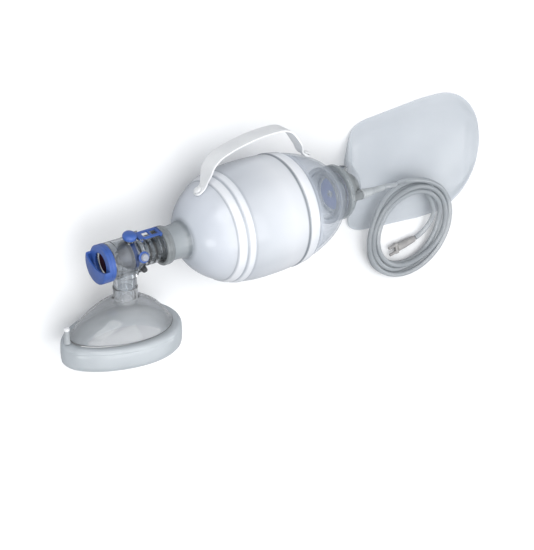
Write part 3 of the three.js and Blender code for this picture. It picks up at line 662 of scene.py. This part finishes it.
WIRE_RADIUS = 0.25
SPRING_TURNS = 3
SPRING_RADIUS = 2.4
SPRING_FOOT = 19.5
SPRING_RISE = 1.9
POINTS_A_COIL = 20
spring_wire = bpy.data.curves.new("spring_wire", "CURVE")
spring_wire.dimensions = "3D"
spring_wire.bevel_depth = WIRE_RADIUS * MM
spring_wire.bevel_resolution = 2
spring_wire.use_fill_caps = True
coils = spring_wire.splines.new("POLY")
coils.points.add(SPRING_TURNS * POINTS_A_COIL)
relief_out = outward(RELIEF_TURN)
relief_side = relief_out.cross(ALONG)
for i, knot in enumerate(coils.points):
    angle = i / POINTS_A_COIL * tau
    height = SPRING_FOOT + SPRING_RISE * i / (SPRING_TURNS * POINTS_A_COIL)
    offset = (ALONG * SPRING_RADIUS * cos(angle)
              + relief_side * SPRING_RADIUS * sin(angle))
    knot.co = (*(at(RELIEF_STATION) + (relief_out * height + offset) * MM), 1)
spring = placed("wire_spring", spring_wire)
only(spring)
bpy.ops.object.convert(target="MESH")
steel = moulding("spring_steel", (0.5, 0.51, 0.52), (0.4, 0.41, 0.42), 0.2, cloud=200, Metallic=1)
stands_for(spring, "relief_spring", steel)

# ---- Inlet housing and its lever ----
# The inlet housing closes the drum's back and runs into the bag's swivel sleeve on two rubber
# rings. It has two ears for the blue lever that holds the relief valve shut, and two side ports.
LEVER_STATION = 16.6
LEVER_HEIGHT = 21.6
EAR_ASIDE = 7.2
SEAL_STATIONS = (27, 34)
SAMPLE_TURN = 76
SMALL_TURN = 113
PORTS_STATION = 13
housing = spun("inlet_drum", [
    (10.3, 0), (10.3, BODY_RADIUS - 0.5), (10.8, BODY_RADIUS), (15.2, BODY_RADIUS),
    (15.9, BODY_RADIUS - 0.3), (19.1, 16.4), (19.6, 14), (19.1, 12.6), (41, 12.6), (41, 0)])
ears = []
for side in (1, -1):
    ear = spoke(LEVER_STATION, 4.4, 1.7, LEVER_HEIGHT - 7, LEVER_HEIGHT + 1.9, RELIEF_TURN)
    ear.data.transform(Matrix.Translation(
        outward(RELIEF_TURN).cross(ALONG) * EAR_ASIDE * side * MM))
    ears.append(ear)
sample_stub = radial_piece("sample_stub", [
    (15, 0), (15, 3.4), (20, 3.1), (20.2, 2.5), (24, 2.5), (24, 0)], PORTS_STATION, SAMPLE_TURN,
    40, 0)
small_stub = radial_piece("small_stub", [
    (15, 0), (15, 2.6), (20, 2.4), (20.2, 2), (22.5, 2), (22.5, 0)], PORTS_STATION, SMALL_TURN, 40,
    0)
joined(housing, *ears, sample_stub, small_stub)
grooves = [spun("groove", [(x - 1, 11.8), (x - 1, 13), (x + 1, 13), (x + 1, 11.8)])
           for x in SEAL_STATIONS]
lever_axis = at(LEVER_STATION) + outward(RELIEF_TURN) * LEVER_HEIGHT * MM
lever_side = outward(RELIEF_TURN).cross(ALONG)
pin_hole = spun("pin_hole", [
    (-9, 0), (-9, 1.3), (9, 1.3), (9, 0)], lever_axis, lever_side, ALONG, 32)
cut(housing,
    spun("cup", [(9, 0), (9, 16.5), (14, 16.5), (14, 10.6), (42, 10.6), (42, 0)]),
    *grooves, pin_hole,
    radial_piece("sample_bore", [(14, 0), (14, 1.6), (25, 1.6), (25, 0)], PORTS_STATION,
                 SAMPLE_TURN, 24, 0))
stands_for(rounded(housing, 0.2, 2), "inlet_housing", clear_drum)

for end, station in zip(("front", "rear"), SEAL_STATIONS):
    seal = turned_piece(end + "_seal", [
        (station - 0.9, 12.3), (station - 0.9, 13.4), (station - 0.5, 14),
        (station + 0.5, 14), (station + 0.9, 13.4), (station + 0.9, 12.3)])
    stands_for(seal, "swivel_seal_" + end, dark_rubber)

lever = spoke(28.2, 27, 12, 21.4, 23.2, RELIEF_TURN)
hook = spoke(40.6, 2.6, 12, 19.4, 23.2, RELIEF_TURN)
joined(lever, hook)
windows = [spoke(middle, 7.6, 7.4, 18, 26, RELIEF_TURN) for middle in (24.4, 34.3)]
cut(lever, *windows)
lever_pin = spun("lever_pin", [
    (-7.7, 0), (-7.7, 1), (7.7, 1), (7.7, 0)], lever_axis, lever_side, ALONG, 32)
joined(lever, lever_pin)
stands_for(rounded(lever, 0.45, 3), "relief_lever", blue_plastic)

strap_ring = radial_piece("port_cap_ring", [
    (20.6, 2.9), (20.6, 5.9), (21, 6.2), (21.8, 6.2), (22.2, 5.9), (22.2, 2.9)], PORTS_STATION,
    SAMPLE_TURN)
stands_for(strap_ring, "sample_port_strap", blue_plastic)
sample_cap = radial_piece("sample_cap", [
    (24.3, 0), (24.3, 2.6), (22.6, 2.9), (22.6, 4.1), (23.2, 4.2), (23.8, 3.9), (25.2, 3.7),
    (25.6, 3.3), (25.6, 1.4), (25.3, 1), (25.3, 0)], PORTS_STATION, SAMPLE_TURN)
stands_for(sample_cap, "sample_port_cap", clear_silicone)
small_cap = radial_piece("small_cap", [
    (22.8, 0), (22.8, 2.3), (20.6, 2.3), (20.6, 3.2), (24.4, 3), (25.1, 2.4), (25.4, 1.6),
    (25.4, 0)], PORTS_STATION, SMALL_TURN)
stands_for(small_cap, "pressure_port_cap", dark_rubber)

# ---- Front neck ----
# The neck connector is the sleeve in which the patient valve turns. Its tube is pushed into the
# bag's neck, and a smoky ring locks the silicone on it.
clear_sleeve = clear_solid(moulding(
    "clear_sleeve", (0.93, 0.945, 0.955), (0.86, 0.885, 0.90), 0.02, marks=0.05, cloud=45,
    IOR=1.38))
sleeve = turned_piece("swivel_sleeve", [
    (19.8, 14.3), (19.8, 14.9), (20.4, 15.6), (22.6, 15.6), (23, 15.2), (24.4, 15.2),
    (24.8, 15.6), (29.4, 15.6), (29.8, 15.2), (31.2, 15.2), (31.6, 15.6), (36.2, 15.6),
    (36.6, 15.2), (38, 15.2), (38.4, 15.6), (42.8, 15.6), (42.8, 16.8), (43.2, 17.2),
    (45.3, 17.2), (45.6, 16.9), (45.6, 15.6), (69, 15.9), (69, 14.3)])
stands_for(sleeve, "neck_connector", clear_sleeve)
smoky_plastic = clear_wall(moulding(
    "smoky_plastic", (0.33, 0.355, 0.365), (0.23, 0.25, 0.26), 0.14, cloud=50, Coat_Weight=0.4,
    Specular_IOR_Level=0.7), 0.60, 0.98, 0.4)
neck_ring = turned_piece("neck_ring", [
    (43.4, 17.6), (43.4, 20), (44, 20.7), (44.8, 21), (46.2, 21), (46.6, 20.4), (47.6, 20.4),
    (48, 21), (50.4, 21), (51.6, 20.7), (52.6, 19.8), (52.6, 18.9), (46.1, 18.9), (46.1, 17.6)])
stands_for(neck_ring, "neck_lock_ring", smoky_plastic)

# ---- Bag ----
# The bag is one milky silicone moulding, 2.4 mm thick. Raised bands stiffen it, two at the front
# shoulder and one at the rear, and its necks are pushed over the connectors. Behind the rear band
# the silicone is nearly clear, so that the intake valve shows through it.
BAG_MIDDLE = 165
BAG_FRONT = 95
BAG_REAR = 120
BAG_FULLNESS = 2.4
BAG_WALL = 2.4
# Raised bands: where each begins and ends, and how far it stands out.
RIBS = [(107.6, 117.2, 0.95), (118.8, 126.8, 0.95), (196, 212, 1.0)]
RIB_EDGE = 1.5


def bag_radius(station):
    """Outside radius of the bag's shoulders, without the ribs."""
    reach = abs(station - BAG_MIDDLE) / (BAG_FRONT if station < BAG_MIDDLE else BAG_REAR)
    return BAG_RADIUS * sqrt(max(0, 1 - reach ** BAG_FULLNESS))


def ribbed_radius(station):
    lift = 0
    for begin, end, height in RIBS:
        lift += height * smooth((station - begin) / RIB_EDGE) * smooth((end - station) / RIB_EDGE)
    return bag_radius(station) + lift


# How the wall looks along the bag: station, tint, and how solid it is face on. The tints also hold
# painted light: a painted highlight along each rib's middle, between two painted shade lines at its
# edges, and a painted shade line where the front neck meets the shoulder.
BAG_TINTS_AND_PAINTED_LIGHT = [
    (46, (0.44, 0.475, 0.49), 0.60), (68, (0.46, 0.495, 0.51), 0.60),
    (70.4, (0.22, 0.245, 0.26), 0.86), (73, (0.22, 0.245, 0.26), 0.86),
    (76, (0.80, 0.84, 0.89), 0.60), (90, (0.86, 0.89, 0.94), 0.62),
    (106.6, (0.86, 0.885, 0.92), 0.68), (107.6, (0.40, 0.43, 0.47), 0.86),
    (109, (0.98, 0.985, 1), 0.86), (115.8, (0.96, 0.97, 0.99), 0.86),
    (117.6, (0.50, 0.53, 0.57), 0.86), (118.6, (0.50, 0.53, 0.57), 0.86),
    (120, (0.97, 0.98, 1), 0.86), (125.4, (0.92, 0.935, 0.96), 0.84),
    (127, (0.52, 0.55, 0.59), 0.82), (129.5, (0.70, 0.725, 0.76), 0.78),
    (150, (0.76, 0.785, 0.815), 0.82), (176, (0.88, 0.895, 0.915), 0.84),
    (193.6, (0.86, 0.875, 0.90), 0.84),
    (195, (0.24, 0.265, 0.29), 0.92), (196.8, (0.26, 0.285, 0.31), 0.92),
    (198.4, (0.98, 0.985, 1), 0.90), (210, (0.93, 0.95, 0.98), 0.84),
    (212, (0.34, 0.37, 0.41), 0.70), (213.6, (0.66, 0.71, 0.79), 0.34),
    (222, (0.60, 0.66, 0.74), 0.09), (264, (0.60, 0.65, 0.71), 0.06),
    (281, (0.52, 0.56, 0.60), 0.10)]
# How solid the wall looks at its edges: at least this, and more where it is solid face on.
EDGE_LEAST = 0.45
EDGE_SHARE = 0.62


def silicone_bag():
    """Milky silicone: greyer and clearer at the front neck, and nearly clear at the rear."""
    material = moulding(
        "bag_silicone", (0.98, 0.985, 1), (0.91, 0.92, 0.94), 0.16, marks=0.1, grain=1100,
        bump=0.00003, cloud=12, Specular_IOR_Level=0.8)
    nodes = material.node_tree.nodes
    shader = nodes["Principled BSDF"]
    place = nodes.new("ShaderNodeTexCoord")
    axes = nodes.new("ShaderNodeSeparateXYZ")
    first, last = BAG_TINTS_AND_PAINTED_LIGHT[0][0], BAG_TINTS_AND_PAINTED_LIGHT[-1][0]
    run = settings(nodes.new("ShaderNodeMapRange"), From_Min=at(first).x, From_Max=at(last).x)
    wire(place, "Object", axes, "Vector")
    wire(axes, "X", run, "Value")
    # This ramp gives the bag's tints, with painted highlights and painted shade lines at the ribs
    # and at the neck.
    tints_and_painted_light = nodes.new("ShaderNodeValToRGB")
    stops = tints_and_painted_light.color_ramp.elements
    for _ in BAG_TINTS_AND_PAINTED_LIGHT[2:]:
        stops.new(0.5)
    for stop, (station, _, _) in zip(stops, BAG_TINTS_AND_PAINTED_LIGHT):
        stop.position = (station - first) / (last - first)
    for stop, (_, tint, solid) in zip(stops, BAG_TINTS_AND_PAINTED_LIGHT):
        stop.color = (*tint, solid)
    wire(run, "Result", tints_and_painted_light, "Fac")
    colour = nodes.new("ShaderNodeMix")
    colour.data_type = "RGBA"
    colour.blend_type = "MULTIPLY"
    settings(colour, Factor=1)
    wire(shader.inputs["Base Color"].links[0].from_node, "Colour", colour, "A")
    wire(tints_and_painted_light, "Color", colour, "B")
    wire(colour, "Result", shader, "Base Color")
    slant = settings(nodes.new("ShaderNodeLayerWeight"), Blend=0.35)
    edge = nodes.new("ShaderNodeMath")
    edge.operation = "MULTIPLY_ADD"
    edge.inputs[1].default_value = EDGE_SHARE
    edge.inputs[2].default_value = EDGE_LEAST
    wire(tints_and_painted_light, "Alpha", edge, 0)
    wall = nodes.new("ShaderNodeMapRange")
    wire(slant, "Facing", wall, "Value")
    wire(tints_and_painted_light, "Alpha", wall, "To Min")
    wire(edge, "Value", wall, "To Max")
    wire(wall, "Result", shader, "Alpha")
    return material


REAR_NECK = 30.7
INTAKE_RADIUS = 27.8
stations = [76, 77.5, 79.5, 82, 85, 88.5, 92, 96, 100, 104, *(x / 2 for x in range(214, 258)),
            *range(130, 194, 4), *(x / 2 for x in range(389, 427)), *range(216, 261, 4),
            263, 266, 268]
shoulders = [(x, ribbed_radius(x)) for x in stations]
inside = [(x, bag_radius(x) - BAG_WALL) for x in [267.5, 262, 256, 248, 240, 228, 214, 200, 182,
                                                  165, 148, 134, 120, 107, 98, 90, 84, 80]]
bag = spun("silicone_bag", [
    (46.4, 17.2), (46.4, 18), (47, 18.5), (60, 18.7), (66, 19.1), (69, 19.5), (70, 20.1),
    (71.4, 20.5), (72.8, 20.6), (74, 21), *shoulders, (270, 32.2), (271.5, 31), (273, REAR_NECK),
    (280.1, REAR_NECK), (280.7, 30.1), (280.7, 28.1), (270.5, 28.1), *inside, (76, 21.5),
    (73, 16.6), (60, 16.6)], steps=144)
rounded(bag, 0.2, 2, angle=50)
stands_for(bag, "bag_shell", silicone_bag())

# ---- Carrying strap ----
# A milky silicone strap arches over the bag. Each end narrows to a round tab with an eye, which is
# pushed over a mushroom stud moulded for it on the shoulder.
STRAP_WIDTH = 20
STRAP_THICK = 1.8
TAB_WIDTH = 11
EYE_LIFT = 2.4


def strap_eye(station):
    """An eye's middle, as a station and a height, and the lean of the shoulder there."""
    lean = atan2(bag_radius(station - 0.5) - bag_radius(station + 0.5), 1)
    return (station + EYE_LIFT * sin(lean),
            bag_radius(station) + EYE_LIFT * cos(lean), lean)


front_eye = strap_eye(96.3)
rear_eye = strap_eye(237)
strap_run = [front_eye[:2], (100.3, 54.6), (103.2, 63), (107.5, 75), (117, 84), (131.7, 89.7),
             (151, 94.2), (168, 96.8), (186.5, 97.9), (201, 97), (211.5, 92), (220, 82),
             (226.5, 71.5), (229.6, 63.5), rear_eye[:2]]


def smooth_run(points, steps):
    """A Catmull-Rom curve through (station, height) points, and its distance-even samples."""
    ends = [tuple(2 * a - b for a, b in zip(points[0], points[1])), *points,
            tuple(2 * a - b for a, b in zip(points[-1], points[-2]))]
    fine = []
    for a, b, c, d in zip(ends, ends[1:], ends[2:], ends[3:]):
        for i in range(16):
            t = i / 16
            fine.append(Vector(tuple(
                0.5 * (2 * q + (r - p) * t + (2 * p - 5 * q + 4 * r - s) * t ** 2
                       + (3 * q - p - 3 * r + s) * t ** 3)
                for p, q, r, s in zip(a, b, c, d))))
    fine.append(Vector(points[-1]))
    lengths = [0]
    for a, b in zip(fine, fine[1:]):
        lengths.append(lengths[-1] + (b - a).length)
    samples = []
    for i in range(steps + 1):
        goal = lengths[-1] * i / steps
        j = next((k for k in range(1, len(fine)) if lengths[k] >= goal - 1e-9), len(fine) - 1)
        share = (goal - lengths[j - 1]) / max(lengths[j] - lengths[j - 1], 1e-9)
        samples.append(fine[j - 1].lerp(fine[j], share))
    return samples


STRAP_STEPS = 90
STRAP_COLUMNS = 8
# Shares of the strap's length: where its tabs start to widen, over how much, and its low crown.
TAB_SHARE, WIDENING_SHARE, CROWNED_SHARE = 0.04, 0.10, 0.1
STRAP_CROWN = 0.35
strap_line = smooth_run(strap_run, STRAP_STEPS)
corners, faces = [], []
for i, place in enumerate(strap_line):
    from_end = min(i, STRAP_STEPS - i) / STRAP_STEPS
    widened = smooth((from_end - TAB_SHARE) / WIDENING_SHARE)
    width = TAB_WIDTH + (STRAP_WIDTH - TAB_WIDTH) * widened
    for j in range(STRAP_COLUMNS + 1):
        share = j / STRAP_COLUMNS * 2 - 1
        crown = STRAP_CROWN * (1 - share ** 2) * smooth(from_end / CROWNED_SHARE)
        corners.append(at(place.x, share * width / 2, place.y + crown))
for i in range(STRAP_STEPS):
    for j in range(STRAP_COLUMNS):
        first = i * (STRAP_COLUMNS + 1) + j
        faces.append((first, first + 1, first + STRAP_COLUMNS + 2, first + STRAP_COLUMNS + 1))
strap = meshed("carrying_strap", corners, [], faces)
modified(strap, "SOLIDIFY", thickness=STRAP_THICK * MM, offset=0)


def eye_axes(eye):
    """Where an eye is, the direction out of the shoulder there, and one along it."""
    station, height, lean = eye
    out = UP * cos(lean) + ALONG * sin(lean)
    return at(station, 0, height), out, ACROSS.cross(out)


for eye in (front_eye, rear_eye):
    middle, out, side = eye_axes(eye)
    tab = spun("tab", [(-1.1, 0), (-1.1, 5.2), (-0.8, 5.5), (0.8, 5.5), (1.1, 5.2), (1.1, 0)],
               middle, out, side, 48)
    joined(strap, tab)
    cut(strap, spun("eye", [(-3, 0), (-3, 3), (3, 3), (3, 0)], middle, out, side, 40))
stands_for(rounded(strap, 0.4, 3), "handle_strap", milky_silicone)

STUD = [(-1.9, 0), (-1.9, 2.2), (2.1, 2.2), (2.3, 2.5), (2.3, 4), (2.6, 4.4), (3.2, 4.2),
        (3.8, 3.4), (4.2, 2.4), (4.4, 1.2), (4.4, 0)]
for end, eye in (("front", front_eye), ("rear", rear_eye)):
    stud = rounded(spun(end + "_stud", STUD, *eye_axes(eye), 48), 0.15)
    stands_for(stud, "strap_stud_" + end, milky_silicone)

# ---- Intake valve ----
# The intake housing is a clear tube in the bag's rear neck, flanged inside the bag. Its seat has
# six round windows, which the blue disc on its pin covers. A pale smoky ring with 24 grips locks
# the silicone on it.
intake = spun("intake_tube", [
    (264, 25.2), (264, 32), (264.6, 32.6), (266.9, 32.6), (267.5, 32), (267.5, 28.4),
    (268.1, INTAKE_RADIUS), (286.8, INTAKE_RADIUS), (286.8, 25.2)], steps=120)
joined(intake, spun("seat", [(278, 0), (278, 26.4), (280.5, 26.4), (280.5, 0)]))


def ring_of(count, reach, name, profile, steps):
    """Cutters spaced evenly round the bag's axis, at this distance from it."""
    ways = [outward(360 / count * i) for i in range(count)]
    return [spun(name, profile, at(0) + way * reach * MM, ALONG, way, steps) for way in ways]


cut(intake, *ring_of(6, 13, "window", [(276, 0), (276, 4.3), (283, 4.3), (283, 0)], 32))
cut(intake, spun("pin_hole", [(276, 0), (276, 2), (283, 2), (283, 0)], steps=24))
stands_for(rounded(intake, 0.25, 2), "intake_housing", clear_sleeve)

blue_silicone = moulding(
    "blue_silicone", (0.11, 0.19, 0.62), (0.085, 0.15, 0.52), 0.34, cloud=70, grain=1300,
    Subsurface_Weight=0.1)
intake_flap = turned_piece("intake_flap", [
    (276.4, 2.2), (276.3, 4), (276.5, 6), (276.3, 8), (276.3, 17.9), (276.6, 18.5),
    (277.4, 18.5), (277.7, 18), (277.7, 2.2)])
stands_for(intake_flap, "intake_disc", blue_silicone)
pin = turned_piece("flap_pin", [
    (272.6, 0), (272.6, 2.4), (272.9, 3), (273.4, 4.4), (273.9, 4.6), (274.2, 4.4), (274.2, 1.7),
    (280.8, 1.7), (280.8, 3), (281.4, 2.8), (282, 2.2), (282, 0)], 48)
stands_for(pin, "intake_pin", clear_sleeve)
rear_ring = spun("rear_ring", [
    (281, 28.1), (281, 30.8), (281.4, 31.6), (282, 32), (285.5, 32), (286.1, 31.7), (286.5, 31),
    (286.5, 28.1)], steps=144)
cut(rear_ring, *ring_of(24, 32.6, "grip", [(282.6, 0), (282.6, 1.1), (285, 1.1), (285, 0)], 16))
pale_smoke = clear_wall(moulding(
    "pale_smoke", (0.46, 0.50, 0.52), (0.36, 0.395, 0.415), 0.1, cloud=50, Coat_Weight=0.4,
    Specular_IOR_Level=0.8), 0.42, 0.95, 0.4)
stands_for(rounded(rear_ring, 0.2, 2), "rear_lock_ring", pale_smoke)

# ---- Reservoir valve ----
# The reservoir valve is a smoky moulding behind the intake. Two pods hold its blue overflow and
# air inlet discs, and a boss on its side carries the oxygen inlet.
DRUM_RADIUS = 24
PODS_STATION = 292
POD_RADIUS = 4.9
drum = spun("valve_cup", [
    (287.1, 0), (287.1, 29.2), (287.5, 29.8), (288.3, 30), (289.2, 29.8), (289.6, 29.2),
    (289.6, DRUM_RADIUS), (295.4, DRUM_RADIUS), (296.4, DRUM_RADIUS - 0.5),
    (297, DRUM_RADIUS - 1.4), (297, 15.2), (297.5, 14.5), (306.5, 14.5), (306.5, 0)], steps=112)
pods = [radial_piece("pod", [
    (20, 0), (20, POD_RADIUS), (28.9, POD_RADIUS), (29.5, 4.5), (29.5, 0)], PODS_STATION, angle,
    40, 0) for angle in (0, 180)]
boss = spun("boss", [(289.4, 0), (289.4, 5.6), (299.5, 5.6), (300, 5.2), (300, 0)],
            at(0, **inlet), steps=48)
joined(drum, *pods, boss)
cut(drum,
    spun("cup_bore", [(286, 0), (286, 22), (295, 22), (295, 12.8), (308, 12.8), (308, 0)]),
    spun("boss_bore", [(294, 0), (294, 4.3), (301, 4.3), (301, 0)], at(0, **inlet), steps=40),
    *(radial_piece("pod_bore", [(15, 0), (15, 2.6), (shelf, 2.6), (shelf, 4.1), (rim, 4.1),
                                (rim, 2.6), (31, 2.6), (31, 0)], PODS_STATION, angle, 40, 0)
      for shelf, rim, angle in ((26, 28.6, 0), (25.4, 28, 180))))
stands_for(rounded(drum, 0.25, 2), "reservoir_valve_housing", smoky_plastic)
for name, node, bottom, angle in (("overflow_flap", "overflow_disc", 26.3, 0),
                                  ("air_flap", "air_inlet_disc", 26.9, 180)):
    flap = radial_piece(name, [(bottom, 0), (bottom, 3.5), (bottom + 0.2, 3.7),
                               (bottom + 0.6, 3.7), (bottom + 0.8, 3.5), (bottom + 0.8, 0.8),
                               (bottom + 0.6, 0.5), (bottom + 0.6, 0)], PODS_STATION, angle)
    stands_for(flap, node, blue_silicone)
barb = turned_piece("oxygen_barb", [
    (294.3, 1.4), (294.3, 4), (303, 4), (303, 2.9), (306.4, 2.9), (307, 3.1), (307, 2.5),
    (310.4, 2.9), (311, 3.1), (311, 2.5), (315, 2.6), (316, 2.2), (316, 1.4)], 48, **inlet,
    round_off=0.12)
stands_for(barb, "oxygen_nipple", clear_sleeve)
collar = turned_piece("bag_collar", [
    (297.4, 14.8), (297.4, 16.6), (298, 17.3), (298.8, 17.4), (299.2, 17), (300.2, 17),
    (300.6, 17.4), (304.6, 17.4), (305.4, 17.2), (306, 16.6), (306, 14.8)])
stands_for(collar, "reservoir_collar", smoky_plastic)

# ---- Reservoir bag ----
# The reservoir is two sheets of thin clear film, welded round their edge. Empty, it hangs from its
# collar, creases where it reaches the table and lies there almost flat.
RESERVOIR_END = 574.5
LANDING = 350
RESERVOIR_MIDDLE = -15
HALF_WIDTH = 76
NARROWING = 10
WIDENING_RUN = 120
NEAR_CORNER = 30
NEAR_INSET = 20
FAR_CORNER = 78
HALF_THICK = 5.5
SHEAR = 0.1
SQUARENESS = 0.8
FLAT_FROM, FLAT_OVER = 341, 25
# Station, half width, half height, and the middle's side offset and height, down to the table.
THROAT = [(307.3, 14, 13.2, 0, 65.5), (310, 14.4, 13.1, -0.2, 64.4), (313, 15, 13, -0.5, 62.5),
          (317, 15.8, 12.6, -1.1, 57.8), (322, 17, 12, -2, 51), (326.5, 18.8, 11.3, -3.1, 43.8),
          (331, 21, 10.5, -4.5, 36), (335, 23.8, 9.7, -6.1, 27.8), (339, 27, 8.8, -8, 20)]


def pillow(station):
    """A row of the lying film: its station, half width, half height, side offset and height."""
    near = min(1, (station - LANDING) / NEAR_CORNER)
    far = min(1, (RESERVOIR_END - station) / FAR_CORNER)
    width = HALF_WIDTH + NARROWING * (min(1, (station - LANDING) / WIDENING_RUN) - 1)
    width -= NEAR_INSET * (1 - sqrt(1 - (1 - near) ** 2))
    width *= 0.06 + 0.94 * sqrt(1 - (1 - far) ** 2)
    height = HALF_THICK * min(1, 0.15 + 0.85 * min(1, far * 2.2))
    return station, width, height, RESERVOIR_MIDDLE, height


pillow_stations = [LANDING + 2, 354.5, 358, 362, 367, 373, 380, 388, 396, 405, 415, 425, 436, 447,
                   458, 469, 480, 490, 500, 509, 518, 526, 534, 541, 548, 554, 559.5, 564.5, 568,
                   571, 573.2, RESERVOIR_END]
RIM_POINTS = 72
corners, faces = [], []
rows = THROAT + [pillow(x) for x in pillow_stations]
for row, (station, width, height, aside, level) in enumerate(rows):
    lying = smooth((station - FLAT_FROM) / FLAT_OVER)
    shear = SHEAR if station > LANDING else 0
    for i in range(RIM_POINTS):
        angle = i / RIM_POINTS * tau
        c, s = cos(angle), sin(angle)
        across = copysign(abs(c) ** SQUARENESS, c) * width
        rise = copysign(abs(s) ** SQUARENESS, s)
        if lying > 0:
            # Lying film: flat below, a low crown above, thin at the weld, with long soft creases.
            edge = 1 - abs(across) / max(width, 1)
            crown = smooth(edge * 3.2) * (0.72 + 0.1 * sin(across * 0.09 + station * 0.023)
                                          + 0.07 * sin(across * 0.05 - station * 0.06))
            flat = -0.96 if rise < 0 else -0.86 + 1.75 * crown * abs(rise)
            rise = rise * (1 - lying) + flat * lying
        corners.append(on_table(station + shear * across, aside + across, level + rise * height))
for row in range(len(rows) - 1):
    for i in range(RIM_POINTS):
        a, b = row * RIM_POINTS + i, row * RIM_POINTS + (i + 1) % RIM_POINTS
        faces.append((a, b, b + RIM_POINTS, a + RIM_POINTS))
faces.append(tuple(range(RIM_POINTS))[::-1])
faces.append(tuple(range((len(rows) - 1) * RIM_POINTS, len(rows) * RIM_POINTS)))
reservoir = meshed("film_reservoir", corners, [], faces)
only(reservoir)
bpy.ops.object.mode_set(mode="EDIT")
bpy.ops.mesh.select_all(action="SELECT")
bpy.ops.mesh.normals_make_consistent(inside=False)
bpy.ops.object.mode_set(mode="OBJECT")
modified(reservoir, "SUBSURF", levels=1, render_levels=1)
only(reservoir)
bpy.ops.object.shade_smooth()
film = clear_wall(moulding(
    "clear_film", (0.70, 0.74, 0.785), (0.64, 0.685, 0.735), 0.16, marks=0.16, grain=60,
    bump=0.0012, cloud=9, Specular_IOR_Level=0.6), 0.34, 0.9, 0.3)
stands_for(reservoir, "reservoir_bag", film)
